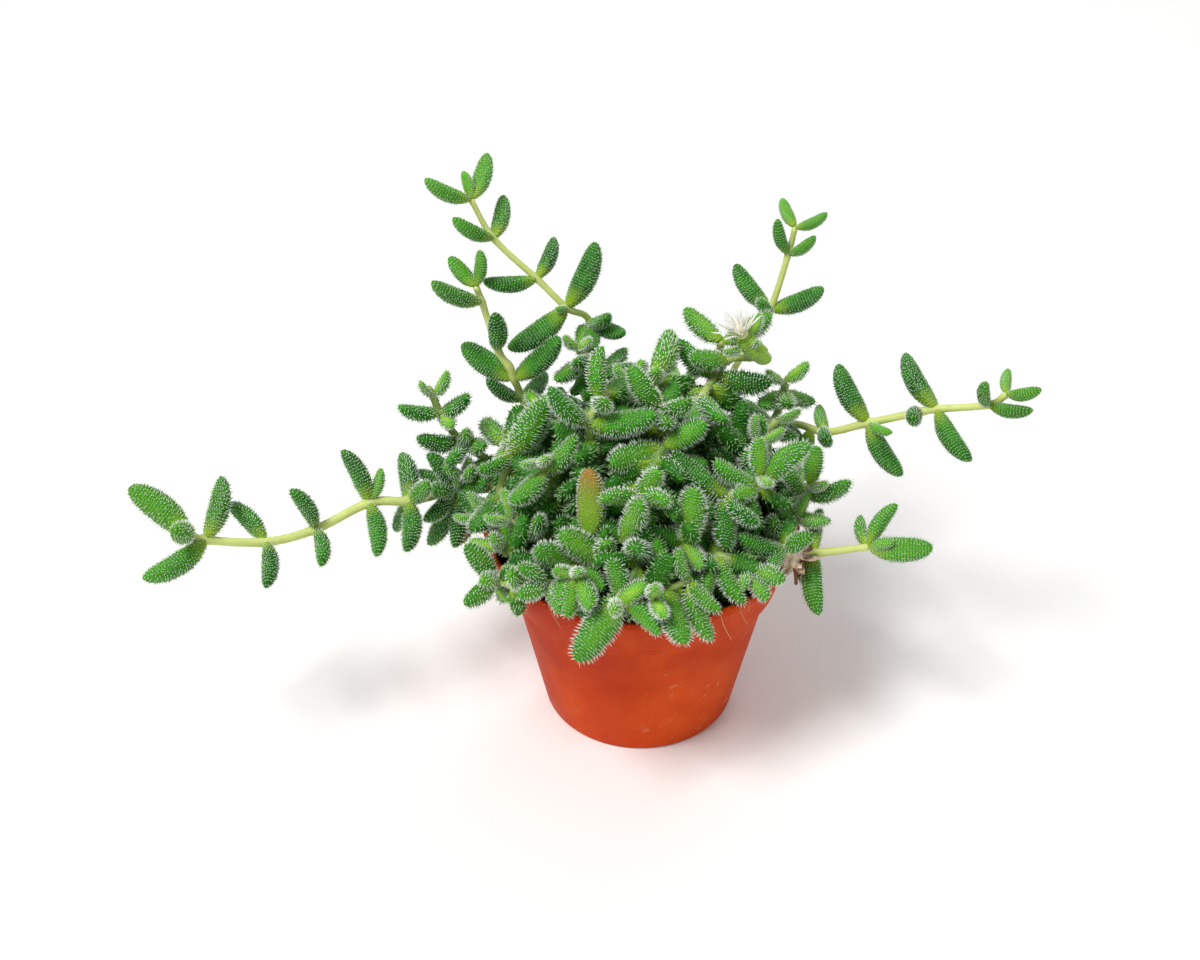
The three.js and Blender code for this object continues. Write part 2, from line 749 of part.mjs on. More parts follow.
// The bloom: slender petals round a low yellow middle, just clear of the calyx
function bloomSolid() {
  const foot = calyxFoot.clone().addScaledVector(bloomAxis, calyxHeight + SEAT_GAP);
  const eye = lathe(EYE_OUTLINE, EYE_SIDES);
  const pieces = [solid(stood(eye, foot, bloomAxis))];
  for (let i = 0; i < PETALS; i += 1) {
    const length = PETAL_LENGTH * (i % 2 ? 1 : PETAL_SHORT);
    const petal = new THREE.BoxGeometry(length, PETAL_WIDTH, PETAL_THICK);
    petal.translate(length / 2 + 0.5 * EYE_R, 0, 0);
    petal.rotateY(-radians(PETAL_RISE + (i % 2 ? 0 : PETAL_STEP))).rotateZ((i / PETALS) * 2 * Math.PI);
    petal.translate(0, 0, PETAL_FOOT);
    pieces.push(solid(stood(petal, foot, bloomAxis)));
  }
  return oneBody(wasm.Manifold.union(pieces));
}

// The brown husk on its short stalk
function dryBloomSolid(stem) {
  const { joint, at } = DRY_BLOOM;
  const foot = stem.points[stem.first + joint];
  const axis = seen(...at).sub(foot).normalize();
  return solid(stood(lathe(HUSK_OUTLINE, HUSK_SIDES), foot, axis));
}

// A bristle: a three-sided needle whose base is sunk into the leaf
function bristleSolid(from, to) {
  const length = from.distanceTo(to);
  const needle = new THREE.ConeGeometry(BRISTLE_R, length, 3, 1).rotateX(Math.PI / 2);
  const turn = new THREE.Quaternion().setFromUnitVectors(UP, to.clone().sub(from).normalize());
  const mid = from.clone().lerp(to, 0.5);
  return solid(reshape(needle, (v) => v.applyQuaternion(turn).add(mid)));
}

// The radius of a leaf's outline, as a share of its widest, at a share of its length
function outlineAt(share) {
  const k = LEAF_OUTLINE.findIndex(([, z], i) => i > 1 && z >= share);
  const [r0, z0] = LEAF_OUTLINE[k - 1];
  const [r1, z1] = LEAF_OUTLINE[k];
  return r0 + ((r1 - r0) * (share - z0)) / (z1 - z0);
}

// A bristle in the middle of one of a leaf's faces, leaning towards the leaf's tip
function bristleOn(leaf, faceNumber, share) {
  const axis = leaf.tip.clone().sub(leaf.base).divideScalar(leaf.length);
  const across = leaf.face.clone().cross(axis);
  const angle = radians(90 + (360 / LEAF_SIDES) * faceNumber);
  const reach = leaf.length * outlineAt(share) * Math.cos(Math.PI / LEAF_SIDES);
  const through = Math.sin(angle) * LEAF_THICK * (Math.sin(angle) > 0 ? LEAF_FLAT : 1);
  const out = across.multiplyScalar(Math.cos(angle) * LEAF_WIDE).addScaledVector(leaf.face, through);
  const middle = leaf.base.clone().addScaledVector(axis, share * leaf.length);
  middle.addScaledVector(leaf.face, -LEAF_BOW * leaf.length * Math.sin(Math.PI * share));
  const foot = middle.clone().addScaledVector(out, BRISTLE_SINK * reach);
  const skin = middle.clone().addScaledVector(out, reach);
  const way = out.normalize().addScaledVector(axis, BRISTLE_LEAN).normalize();
  return [foot, skin.addScaledVector(way, BRISTLE_LENGTH)];
}

// The bristles of a leaf that clear the neighbouring stems
function bristles(leaf, number, node) {
  const made = [];
  const share = BRISTLE_BANDS[(number / BRISTLE_EVERY) % BRISTLE_BANDS.length];
  for (let k = 0; k < LEAF_SIDES && !made.length; k += 1) {
    const face = BRISTLE_FACES[(number + k) % LEAF_SIDES];
    const [foot, tip] = bristleOn(leaf, face, share);
    const spheres = BRISTLE_SPHERES.map((s) => ({ at: foot.clone().lerp(tip, s), r: 0, node, root: true }));
    if (!isClear(spheres, BRISTLE_CLEAR)) continue;
    taken.push(...spheres);
    made.push(bristleSolid(foot, tip));
  }
  return made;
}

// The pot: one turned shell with a wider collar, and drain holes through its floor
function potSolid() {
  const collarLow = POT_HEIGHT - COLLAR_HEIGHT;
  const shell = solid(
    lathe(
      [
        [0, 0],
        [BASE_R, 0],
        [BODY_TOP_R, collarLow],
        [COLLAR_LOW_R, collarLow],
        [POT_TOP_R, POT_HEIGHT],
        [POT_TOP_R - WALL, POT_HEIGHT],
        [COLLAR_LOW_R - WALL, collarLow + WALL],
        [BODY_TOP_R - WALL, collarLow - WALL],
        [BASE_R - WALL, FLOOR],
        [0, FLOOR],
      ],
      POT_SIDES,
    ),
  );
  const drains = Array.from({ length: DRAIN_HOLES }, (_, i) => {
    const angle = (i / DRAIN_HOLES) * 2 * Math.PI;
    const drill = new THREE.CylinderGeometry(DRAIN_R, DRAIN_R, 3 * FLOOR, DRAIN_SIDES);
    drill.rotateX(Math.PI / 2).translate(DRAIN_RING_R, 0, FLOOR / 2).rotateZ(angle);
    return solid(drill);
  });
  return shell.subtract(wasm.Manifold.union(drains));
}

// How far the soil's top stands over or under its mean height: one wide swell and one short one
function lump(x, y) {
  const wide = Math.sin(SWELL * x + 0.9) * Math.cos(0.87 * SWELL * y);
  return SOIL_LUMP * (wide + 0.4 * Math.sin(1.77 * SWELL * (x + y)));
}

// The soil: it fills the pot, with a lumpy top and a plain hole for each stem
function soilSolid() {
  const gap = WALL + SEAT_GAP;
  const collarLow = POT_HEIGHT - COLLAR_HEIGHT;
  const rise = (SOIL_TOP - collarLow) / COLLAR_HEIGHT;
  const topR = COLLAR_LOW_R + (POT_TOP_R - COLLAR_LOW_R) * rise - gap;
  const body = lathe(
    [
      [0, FLOOR + SEAT_GAP],
      [BASE_R - gap, FLOOR + SEAT_GAP],
      [BODY_TOP_R - gap, collarLow - WALL],
      [COLLAR_LOW_R - gap, collarLow + WALL],
      [topR - EDGE_SLACK, SOIL_TOP],
      [0.72 * topR, SOIL_TOP],
      [0.4 * topR, SOIL_TOP],
      [0, SOIL_TOP],
    ],
    SOIL_SIDES,
  );
  const lumpy = reshape(body, (v) => {
    const inner = v.z > SOIL_TOP - 0.01 && Math.hypot(v.x, v.y) < 0.9 * topR;
    if (inner) v.z += lump(v.x, v.y);
  });
  const depth = ROOT_DEPTH + SEAT_GAP;
  const holes = stems.map(({ root }) => {
    const drill = new THREE.CylinderGeometry(HOLE_R, HOLE_R, depth + DRILL_RISE, STEM_SIDES);
    drill.rotateX(Math.PI / 2).translate(root.x, root.y, SOIL_TOP + (DRILL_RISE - depth) / 2);
    return solid(drill);
  });
  return solid(lumpy).subtract(wasm.Manifold.union(holes));
}

// The largest body of a joined solid, so a hollow that joining sealed is filled
function oneBody(made) {
  return made.decompose().reduce((a, b) => (a.volume() > b.volume() ? a : b));
}

addPiece("pot", geometryOf(potSolid()), 0xb8401f, 0.45);
addPiece("soil", geometryOf(soilSolid()), 0x4a3424, 0.95);
for (const stem of stems) {
  const pieces = [stemSolid(stem)];
  stem.leaves.forEach((leaf, i) => {
    pieces.push(leafSolid(leaf));
    if (i % BRISTLE_EVERY === 0) pieces.push(...bristles(leaf, i, stem.name));
  });
  if (stem.name === FLOWER.stem) pieces.push(calyxSolid(), ...sepals.map(leafSolid));
  if (stem.name === DRY_BLOOM.stem) pieces.push(dryBloomSolid(stem));
  addPiece(stem.name, geometryOf(oneBody(wasm.Manifold.union(pieces))), 0x3f8f35, 0.6);
}
addPiece("bloom", geometryOf(bloomSolid()), 0xf4f0d8, 0.6);

export default group;
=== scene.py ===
"""A pickle plant in its round plastic nursery pot. Metres, +Z up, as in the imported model.

The stems and leaves grow by the rule that grew the model's solids, so each fine shoot stands
where its solid stands. Each leaf is a surface of two parameters, and its bristles stand on a
lattice of the same two parameters.
"""

import math

import bpy
import numpy as np
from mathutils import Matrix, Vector


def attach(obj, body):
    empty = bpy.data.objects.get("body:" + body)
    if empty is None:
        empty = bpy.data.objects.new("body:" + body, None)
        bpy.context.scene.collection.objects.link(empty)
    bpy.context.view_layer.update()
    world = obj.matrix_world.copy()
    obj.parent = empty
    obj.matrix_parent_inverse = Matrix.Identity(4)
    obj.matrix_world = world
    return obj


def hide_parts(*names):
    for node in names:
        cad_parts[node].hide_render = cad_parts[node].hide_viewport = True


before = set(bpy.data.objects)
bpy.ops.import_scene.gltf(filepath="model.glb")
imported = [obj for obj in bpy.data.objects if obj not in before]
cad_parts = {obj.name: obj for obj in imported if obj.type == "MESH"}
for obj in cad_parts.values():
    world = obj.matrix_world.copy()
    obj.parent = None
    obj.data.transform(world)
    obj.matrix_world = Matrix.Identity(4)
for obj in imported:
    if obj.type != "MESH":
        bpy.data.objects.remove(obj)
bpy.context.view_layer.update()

MM = 0.001
BODY = "root"
rng = np.random.default_rng(11)

# The viewpoint of the photograph, with its focal length in pixels of a picture 1200 by 960
EYE = np.array([0, -0.425, 0.396])
AIM = np.array([-0.012, 0.007, 0.072])
FOCAL = 1895
PICTURE = (1200, 960)
SENSOR = 36  # in millimetres, as Blender's camera has it

# Pot
POT_TOP_R = 0.045
POT_HEIGHT = 0.063
COLLAR_HEIGHT = 0.016
COLLAR_LOW_R = 0.0398
BODY_TOP_R = 0.0378
BASE_R = 0.028
WALL = 0.0014
POT_FLOOR = 0.002
DRAIN_R = 0.0032
DRAIN_RING_R = 0.017
DRAIN_HOLES = 6
POT_SIDES = 144

# Soil
SOIL_TOP = 0.056
SOIL_LUMP = 0.0009
LUMP_REACH = 1.4
SWELL = 310  # radians of its widest swell to a metre
SEAT_GAP = 0.00035

# Stems
STEM_R = 0.00125
STEM_TIP_SHARE = 0.75
STEM_STEP = 0.008
STEM_UPRIGHT = 0.0015
STEM_ARCH = 0.12
RIM_INSET = 0.004
RIM_RISE = 0.005
ROOT_DEPTH = 0.008
ROOT_FIELD_R = 0.036
ROOT_SPACING = 0.005

# Leaves: radii are shares of a leaf's length
LEAF_LENGTH = 0.0165
LEAF_WIDE = 0.21
LEAF_THICK = 0.18
LEAF_FLAT = 0.65
LEAF_BOW = 0.05
LEAF_START = 0.0005
LEAF_BROADEST = 0.44  # where along a leaf it is broadest
LEAF_FOOT = 0.3  # its radius at the foot, as a share of the greatest
LEAF_RISE = 0.8  # the power of the way from the foot to the broadest place
LEAF_BLUNT = 2.4  # the power of its tip's superellipse

# The tuft's round surface, which the leaves fill out to
TUFT_CENTRE = np.array([0, 0, 0.062])
TUFT_R = 0.044
CLEAR = 0.00035

UP = np.array([0.0, 0.0, 1.0])


def unit(v):
    """v, or each row of it, at length 1."""
    return v / np.linalg.norm(v, axis=-1, keepdims=True)


FORWARD = unit(AIM - EYE)
RIGHTWARD = unit(np.cross(FORWARD, UP))
UPWARD = np.cross(RIGHTWARD, FORWARD)


def make_camera():
    """The camera at the photograph's viewpoint."""
    data = bpy.data.cameras.new("camera")
    data.sensor_width = SENSOR
    data.lens = FOCAL / PICTURE[0] * SENSOR
    data.clip_start = 0.01
    camera = bpy.data.objects.new("camera", data)
    bpy.context.scene.collection.objects.link(camera)
    camera.location = EYE
    camera.rotation_euler = Vector(FORWARD).to_track_quat("-Z", "Y").to_euler()
    bpy.context.scene.camera = camera


make_camera()

# The stems that show in the photograph, from the soil outwards. Each joint is
# (pixel x, pixel y, millimetres out, *leaves) and each leaf is (pixel x, pixel y, side, millimetres).
TRACED = {
    "left_trailer": [
        (452, 492, -10, (428, 455, 1), (455, 548, 1)),
        (409, 501, 0, (401, 453, -1), (407, 551, 1)),
        (369, 503, 2, (342, 450, -1), (377, 556, 1), (381, 468, 1, 9)),
        (316, 529, 4, (291, 490, 1, 15), (321, 565, 1, 14)),
        (266, 542, 5, (228, 503, -1, 15), (266, 587, 1, 15)),
        (206, 540, 7, (222, 476, -1, 18), (143, 579, 1, 20)),
        (189, 534, 8, (172, 530, 1, 14), (129, 487, -1, 20)),
    ],
    "tall_left_shoot": [
        (590, 322, -16, (625, 334, 1, 13)),
        (567, 308, -10, (596, 242, -1, 19), (508, 349, 1, 18)),
        (537, 279, -8, (554, 237, -1, 14), (483, 281, 1, 16)),
        (494, 239, -6, (503, 195, -1, 14), (453, 218, 1, 14)),
        (471, 200, -4, (425, 179, 1, 15), (487, 153, -1, 15), (463, 171, 1, 7)),
    ],
    "upper_left_shoot": [
        (523, 400, -14, (487, 379, 1, 14)),
        (514, 379, -8, (562, 331, 1, 19), (444, 364, 1, 19)),
        (509, 366, -6, (446, 348, -1, 18), (546, 326, -1, 17)),
        (498, 350, -5, (494, 313, 1, 14)),
        (482, 302, -3, (432, 282, 1, 17), (505, 257, -1, 14)),
        (476, 287, -1, (441, 263, -1, 12), (480, 250, 1, 11)),
    ],
    "left_tuft_shoot": [
        (462, 442, -8, (417, 437, 1, 15), (484, 446, 1, 12)),
        (440, 412, -3, (399, 407, 1, 14), (468, 396, 1, 13), (452, 426, 1, 9)),
        (433, 396, 0, (447, 372, 1, 10), (423, 379, 1, 7)),
        (428, 388, 2, (403, 368, 1, 10)),
    ],
    "low_left_shoot": [
        (545, 584, 2, (519, 568, 1, 12), (560, 612, 1, 12)),
        (519, 586, 9),
        (495, 580, 19, (465, 545, 1, 14), (464, 604, 1, 13)),
        (488, 580, 20, (483, 590, 1, 11), (510, 603, -1, 9)),
    ],
    "front_shoot": [
        (640, 560, -9, (634, 548, 1, 15)),
        (622, 600, 1, (576, 661, 1, 19), (612, 560, 1, 13), (660, 634, 1, 14)),
        (616, 604, 5, (611, 612, 1, 9), (646, 583, 1, 10)),
    ],
    "front_right_shoot": [
        (668, 588, -3, (685, 643, 1, 18), (650, 540, 1, 14)),
        (690, 580, -1, (712, 641, 1, 17), (678, 551, 1, 11)),
    ],
    "front_low_right_shoot": [
        (720, 556, -4, (701, 616, 1, 17), (733, 600, -1, 13)),
        (752, 572, 0, (785, 580, 1, 12), (733, 592, 1, 10)),
    ],
    "lower_right_shoot": [
        (786, 550, 6, (738, 535, 1, 16), (812, 535, 1, 12)),
        (815, 553, 8, (821, 510, -1, 15), (819, 615, 1, 18)),
        (868, 547, 10, (861, 516, -1, 12), (933, 548, 1, 17), (897, 504, -1, 14), (901, 552, 1, 9)),
    ],
    "right_trailer": [
        (790, 425, -26, (803, 440, 1, 13)),
        (826, 432, -12, (830, 441, 1, 13), (820, 405, -1, 11)),
        (868, 423, -6, (838, 364, -1, 19), (902, 476, 1, 17), (892, 432, 1, 9)),
        (920, 412, -3, (914, 419, 1, 13)),
        (937, 409, -2, (905, 353, -1, 19), (971, 461, 1, 18)),
        (988, 405, 0, (986, 384, 1, 12), (1033, 410, 1, 13)),
        (1006, 395, 1, (1009, 369, -1, 9), (1040, 394, 1, 11)),
    ],
    "tall_right_shoot": [
        (748, 345, -30),
        (770, 310, -24, (735, 264, -1, 17), (824, 288, 1, 15), (762, 300, 1, 12)),
        (788, 255, -22, (778, 219, 1, 12), (815, 236, 1, 11)),
        (795, 228, -20, (782, 198, -1, 10), (827, 213, 1, 11)),
    ],
    "flower_shoot": [
        (703, 396, -9, (657, 450, 1, 19)),
        (716, 378, -4, (772, 382, 1, 17), (678, 340, 1, 15)),
        (728, 360, -2, (692, 357, 1, 14)),
        (753, 358, 0),
    ],
    "crown_shoot": [
        (589, 424, -7, (656, 414, 1, 20), (550, 388, 1, 17)),
        (600, 404, -2, (612, 404, 1, 12), (602, 346, -1, 15)),
        (606, 390, 3, (592, 369, 1, 8), (621, 365, 1, 9)),
    ],
    "back_crown_shoot": [
        (600, 372, -14, (634, 366, 1, 14)),
        (584, 358, -9, (576, 361, 1, 12), (598, 322, -1, 13)),
        (578, 348, -5, (564, 337, 1, 7), (590, 340, 1, 7)),
    ],
    "top_shoot": [
        (661, 410, -9, (631, 366, 1, 16), (668, 424, 1, 12)),
        (652, 380, -6, (657, 369, 1, 10), (671, 331, -1, 18)),
    ],
    "right_crown_shoot": [
        (772, 424, -18, (757, 424, 1, 13), (794, 436, 1, 13)),
        (784, 392, -12, (788, 404, 1, 12), (815, 401, -1, 12)),
        (784, 381, -9, (808, 363, 1, 10), (768, 372, 1, 8)),
    ],
    "right_middle_shoot": [
        (729, 496, -8, (672, 453, 1, 19), (727, 548, 1, 16)),
        (758, 486, -3, (715, 461, 1, 15), (810, 444, 1, 17)),
        (761, 476, 2, (759, 438, 1, 11), (770, 484, 1, 7)),
    ],
    "right_side_shoot": [
        (797, 514, 4),
        (806, 497, 2, (784, 455, 1, 14), (850, 481, 1, 15)),
        (810, 486, 6, (817, 446, 1, 12), (825, 483, 1, 8)),
    ],
    "front_left_shoot": [
        (574, 566, -7, (536, 549, 1, 15), (604, 588, 1, 12)),
        (577, 578, -1, (590, 607, 1, 13), (585, 578, 1, 9), (560, 566, 1, 9)),
    ],
    "front_inner_shoot": [(604, 562, -9, (557, 540, 1, 16), (608, 542, 1, 12))],
    "behind_flower_shoot": [
        (718, 356, -15, (700, 372, 1, 13)),
        (722, 342, -12, (685, 308, -1, 15), (771, 314, 1, 17)),
    ],
    "middle_shoot": [
        (663, 448, -13, (610, 464, 1, 17), (716, 440, 1, 16)),
        (640, 500, -8, (667, 502, 1, 13), (600, 500, 1, 13)),
    ],
    "orange_tip_shoot": [(588, 538, -9, (595, 471, 1, 20), (572, 596, 1, 17))],
    "pale_rib_shoot": [(622, 540, -7, (638, 480, 1, 18), (598, 572, 1, 14))],
    "straight_leaf_shoot": [(685, 544, -8, (694, 488, 1, 17), (690, 574, 1, 12))],
    "white_bud_shoot": [
        (545, 472, -9, (575, 438, 1, 15), (512, 502, 1, 15)),
        (540, 460, -4, (546, 458, 1, 8), (522, 464, 1, 7)),
    ],
    "left_face_shoot": [
        (500, 494, -9, (472, 530, 1, 17), (533, 528, 1, 15)),
        (512, 456, -6, (545, 400, 1, 19), (478, 470, 1, 12)),
        (506, 446, -1, (495, 466, 1, 7), (508, 440, 1, 7)),
    ],
    "left_low_face_shoot": [
        (470, 488, -14, (432, 474, 1, 14), (458, 545, 1, 17)),
        (462, 474, -8, (470, 470, 1, 11), (440, 500, 1, 13)),
    ],
}

# The bloom faces from its calyx's foot to the pixel of its centre
FLOWER = {"stem": "flower_shoot", "foot": (753, 358, 0), "centre": (739, 328, 6)}
DRY_BLOOM = {"stem": "lower_right_shoot", "joint": 0, "at": (797, 562, 10)}
WHITE_BUD = "white_bud_shoot"  # the second leaf of its last joint is white with bristles
BLUSHED = "orange_tip_shoot"  # its first leaf has turned yellow, with an orange tip

# The stems that fill the tuft where the photograph's leaves hide them
FILL_TRIES = 160
FILL_SPACING = 0.0066
GOLDEN_ANGLE = math.pi * (3 - math.sqrt(5))
FILL_LEAN = 62  # degrees from upright at the edge of the soil
FILL_LEAN_STRAY = 6
FILL_LEAN_FIRST = 0.35  # the share of its lean that a stem starts with
FILL_LEAN_GAIN = 0.2  # and gains at each joint
FILL_VEER = 18  # degrees that it may turn off the way outwards
FILL_STEP = (0.9, 1.1)
FILL_JOINTS = 7
FILL_LEAST = 4  # points of a stem that is worth keeping
FILL_SPREAD = 0.051  # the half axes of the round space that holds the stems
FILL_RISE = 0.041
FILL_PAIRS = [(72, 0.017), (60, 0.016), (46, 0.013), (28, 0.0085)]  # degrees open, length
FILL_TWIST = 10  # degrees that a pair may stand off a quarter turn
FILL_OPENING_STRAY = 6
FILL_LONG = (0.9, 1.08)
SIDEWAYS = np.array([1, 0.3, 0])  # a direction that no stem of the tuft runs along


def sight_line(px, py):
    """The direction in which the camera sees a pixel."""
    across = (px - PICTURE[0] / 2) / FOCAL
    rise = (PICTURE[1] / 2 - py) / FOCAL
    return unit(FORWARD + RIGHTWARD * across + UPWARD * rise)


def seen(px, py, out):
    """The point seen at a pixel, out millimetres in front of the tuft's round surface."""
    sight = sight_line(px, py)
    point = EYE + sight * ((TUFT_CENTRE - EYE) @ sight)
    inside = TUFT_R**2 - np.sum((point - TUFT_CENTRE) ** 2)
    return point - sight * (math.sqrt(max(inside, 0)) + out * MM)


def tip_seen(base, px, py, side, length):
    """The tip of a leaf of a known length, from the pixel where the tip shows."""
    sight = sight_line(px, py)
    foot = EYE + sight * ((base - EYE) @ sight)
    spare = length**2 - np.sum((foot - base) ** 2)
    return foot - sight * side * math.sqrt(max(spare, 0))


class Draws:
    """Draws that come out the same each time: a linear congruential row."""

    FACTOR = 1664525
    STEP = 1013904223
    LENGTH = 2**32

    def __init__(self, seed):
        self.seed = seed

    def draw(self, low, high):
        self.seed = (self.seed * self.FACTOR + self.STEP) % self.LENGTH
        return low + (high - low) * self.seed / self.LENGTH


row = Draws(23)


def turned(v, axis, degrees):
    """v turned about a unit axis, by Rodrigues' formula."""
    angle = math.radians(degrees)
    along = axis * (axis @ v) * (1 - math.cos(angle))
    return v * math.cos(angle) + np.cross(axis, v) * math.sin(angle) + along


def square_to(axis, wanted):
    """A unit vector square to axis, as close as can be to wanted."""
    return unit(wanted - axis * (wanted @ axis))


class Space:
    """The space taken so far, as spheres."""

    ROOM = 9000

    def __init__(self):
        self.at = np.zeros((self.ROOM, 3))
        self.r = np.zeros(self.ROOM)
        self.node = np.zeros(self.ROOM, int)
        self.root = np.zeros(self.ROOM, bool)
        self.count = 0

    def take(self, spheres):
        at, r, node, root = spheres
        here = slice(self.count, self.count + len(at))
        self.at[here] = at
        self.r[here] = r
        self.node[here] = node
        self.root[here] = root
        self.count += len(at)

    def is_clear(self, spheres, reach):
        """Whether spheres clear the collar, and lie further than reach from other pieces' spheres."""
        at, r, node, root = spheres
        if np.any(collar_distance(at) < r + WALL / 2 + CLEAR):
            return False
        n = self.count
        apart = np.linalg.norm(at[:, None] - self.at[None, :n], axis=2) > r[:, None] + self.r[:n] + reach
        own = (self.node[:n] == node)[None] & (root[:, None] | self.root[None, :n])
        return bool(np.all(apart | own))


taken = Space()

# The spheres that stand for a leaf, from its base to its tip
LEAF_SPHERES = np.array([0.12, 0.3, 0.47, 0.64, 0.8, 0.92])
LEAF_SPHERE_R = np.array([0.115, 0.165, 0.185, 0.18, 0.145, 0.09])
FREE_SHARE = 0.4  # up to this share a leaf may touch its own shoot
STEM_SPHERES = 4  # from one joint to the next

COLLAR_FOOT = np.array([COLLAR_LOW_R - WALL / 2, POT_HEIGHT - COLLAR_HEIGHT])
COLLAR_TOP = np.array([POT_TOP_R - WALL / 2, POT_HEIGHT])


def collar_distance(at):
    """How far points are from the middle of the collar's wall, which is a line in section."""
    point = np.stack([np.hypot(at[:, 0], at[:, 1]), at[:, 2]], axis=1)
    wall = COLLAR_TOP - COLLAR_FOOT
    share = np.clip((point - COLLAR_FOOT) @ wall / (wall @ wall), 0, 1)
    return np.linalg.norm(point - COLLAR_FOOT - share[:, None] * wall, axis=1)


def leaf_spheres(leaf, node):
    """The spheres that stand for a leaf: their middles, radii, node and whether they are by the stem."""
    at = leaf["base"] + LEAF_SPHERES[:, None] * (leaf["tip"] - leaf["base"])
    return at, LEAF_SPHERE_R * leaf["length"], node, LEAF_SPHERES < FREE_SHARE


def above_soil(spheres):
    """Whether each sphere is over the soil or outside the pot."""
    at, r, _, _ = spheres
    outside = np.hypot(at[:, 0], at[:, 1]) > POT_TOP_R
    return bool(np.all(outside | (at[:, 2] - r > SOIL_TOP + LUMP_REACH * SOIL_LUMP)))


def stem_curve(points, t):
    """Points and slopes of the Catmull-Rom curve through points, for shares t of its way.

    Between two points it is the cubic that leaves each with half the step between that point's
    neighbours as its slope.
    """
    p = np.vstack([2 * points[0] - points[1], points, 2 * points[-1] - points[-2]])
    last = len(points) - 2
    place = t * (len(points) - 1)
    k = np.minimum(place.astype(int), last)
    w = (place - k)[:, None]
    start, end = p[k + 1], p[k + 2]
    leave = (end - p[k]) / 2
    arrive = (p[k + 3] - start) / 2
    c2 = 3 * (end - start) - 2 * leave - arrive
    c3 = 2 * (start - end) + leave + arrive
    return start + w * (leave + w * (c2 + w * c3)), leave + w * (2 * c2 + 3 * w * c3)


def stem_spheres(points, node):
    """The spheres that stand for a stem."""
    count = (len(points) - 1) * STEM_SPHERES
    at, _ = stem_curve(points, np.arange(count + 1) / count)
    return at, np.full(count + 1, STEM_R), node, np.ones(count + 1, bool)


# What is tried until a leaf is clear of its neighbours: degrees round the stem, degrees up it, length
NUDGES = [
    (0, 0, 1),
    (8, 0, 1),
    (-8, 0, 1),
    (0, 8, 1),
    (0, -8, 1),
    (14, 8, 0.95),
    (-14, 8, 0.95),
    (14, -8, 0.95),
    (-14, -8, 0.95),
    (0, 0, 0.88),
    (20, 12, 0.88),
    (-20, 12, 0.88),
    (20, -12, 0.88),
    (-20, -12, 0.88),
    (0, 22, 0.82),
    (0, -22, 0.82),
    (28, 0, 0.82),
    (-28, 0, 0.82),
    (0, 0, 0.74),
]


def nudged(base, tip, along, nudge):
    """The leaf turned about its stem and tilted up the stem by a nudge."""
    turn, lift, share = nudge
    arm = tip - base
    length = np.linalg.norm(arm) * share
    across = unit(np.cross(arm, along))
    arm = unit(turned(turned(arm, along, turn), across, lift))
    return {"base": base, "tip": base + arm * length, "length": length, "face": square_to(arm, along)}


def add_leaf(stem, joint, base, tip, along, reach=CLEAR):
    """Adds a leaf where one of the nudges leaves it clear, and otherwise leaves it out."""
    for nudge in NUDGES:
        leaf = nudged(base, tip, along, nudge)
        spheres = leaf_spheres(leaf, stem["number"])
        if above_soil(spheres) and taken.is_clear(spheres, reach):
            taken.take(spheres)
            stem["leaves"].append({**leaf, "joint": joint, "along": along})
            return


def way_out(root, joint):
    """A stem's way inside the tuft: upright in its hole, then over to its first joint."""
    mid = (root + joint) / 2
    out = math.hypot(joint[0], joint[1])
    mid[2] += STEM_ARCH * np.linalg.norm(root - joint)
    if out > POT_TOP_R:
        share = (POT_TOP_R - RIM_INSET) / out
        mid = np.array([joint[0] * share, joint[1] * share, max(POT_HEIGHT + RIM_RISE, mid[2])])
    return [root - UP * ROOT_DEPTH, root + UP * STEM_UPRIGHT, mid]


ROOT_TURNS = [0, 12, -12, 24, -24, 36, -36, 48, -48]
ROOT_SHARES = [0.62, 0.75, 0.48, 0.86, 0.34]
stems = []


def new_stem(name, root, points, first):
    """Adds a stem through points, whose joints are those from the number first on."""
    stem = {"name": name, "number": len(stems), "root": root, "points": np.array(points)}
    stem.update(first=first, leaves=[])
    stems.append(stem)
    taken.take(stem_spheres(stem["points"], stem["number"]))
    return stem


def stem_named(name):
    return next(stem for stem in stems if stem["name"] == name)


def way_at(points, k):
    """A stem's direction at one of its points, from the point before to the point after."""
    return unit(points[min(k + 1, len(points) - 1)] - points[k - 1])


def plant(name, joints):
    """Roots a stem under its first joint, moved round until it clears those planted before it."""
    out = math.hypot(joints[0][0], joints[0][1])
    for share in ROOT_SHARES:
        for turn in ROOT_TURNS:
            r = min(share * out, ROOT_FIELD_R)
            angle = math.atan2(joints[0][1], joints[0][0]) + math.radians(turn)
            root = np.array([r * math.cos(angle), r * math.sin(angle), SOIL_TOP])
            points = [*way_out(root, joints[0]), *joints]
            apart = all(np.linalg.norm(s["root"] - root) > ROOT_SPACING for s in stems)
            if apart and taken.is_clear(stem_spheres(np.array(points), len(stems)), CLEAR):
                return new_stem(name, root, points, 3)
    raise ValueError(name + " finds no place to root")


def grow_traced():
    """Roots the traced stems, and then adds their leaves."""
    for name, joints in TRACED.items():
        plant(name, [seen(*joint[:3]) for joint in joints])
    for stem, joints in zip(list(stems), TRACED.values()):
        points = stem["points"]
        for j, joint in enumerate(joints):
            at = stem["first"] + j
            for px, py, side, *length in joint[3:]:
                long = length[0] * MM if length else LEAF_LENGTH
                tip = tip_seen(points[at], px, py, side, long)
                add_leaf(stem, at, points[at], tip, way_at(points, at))


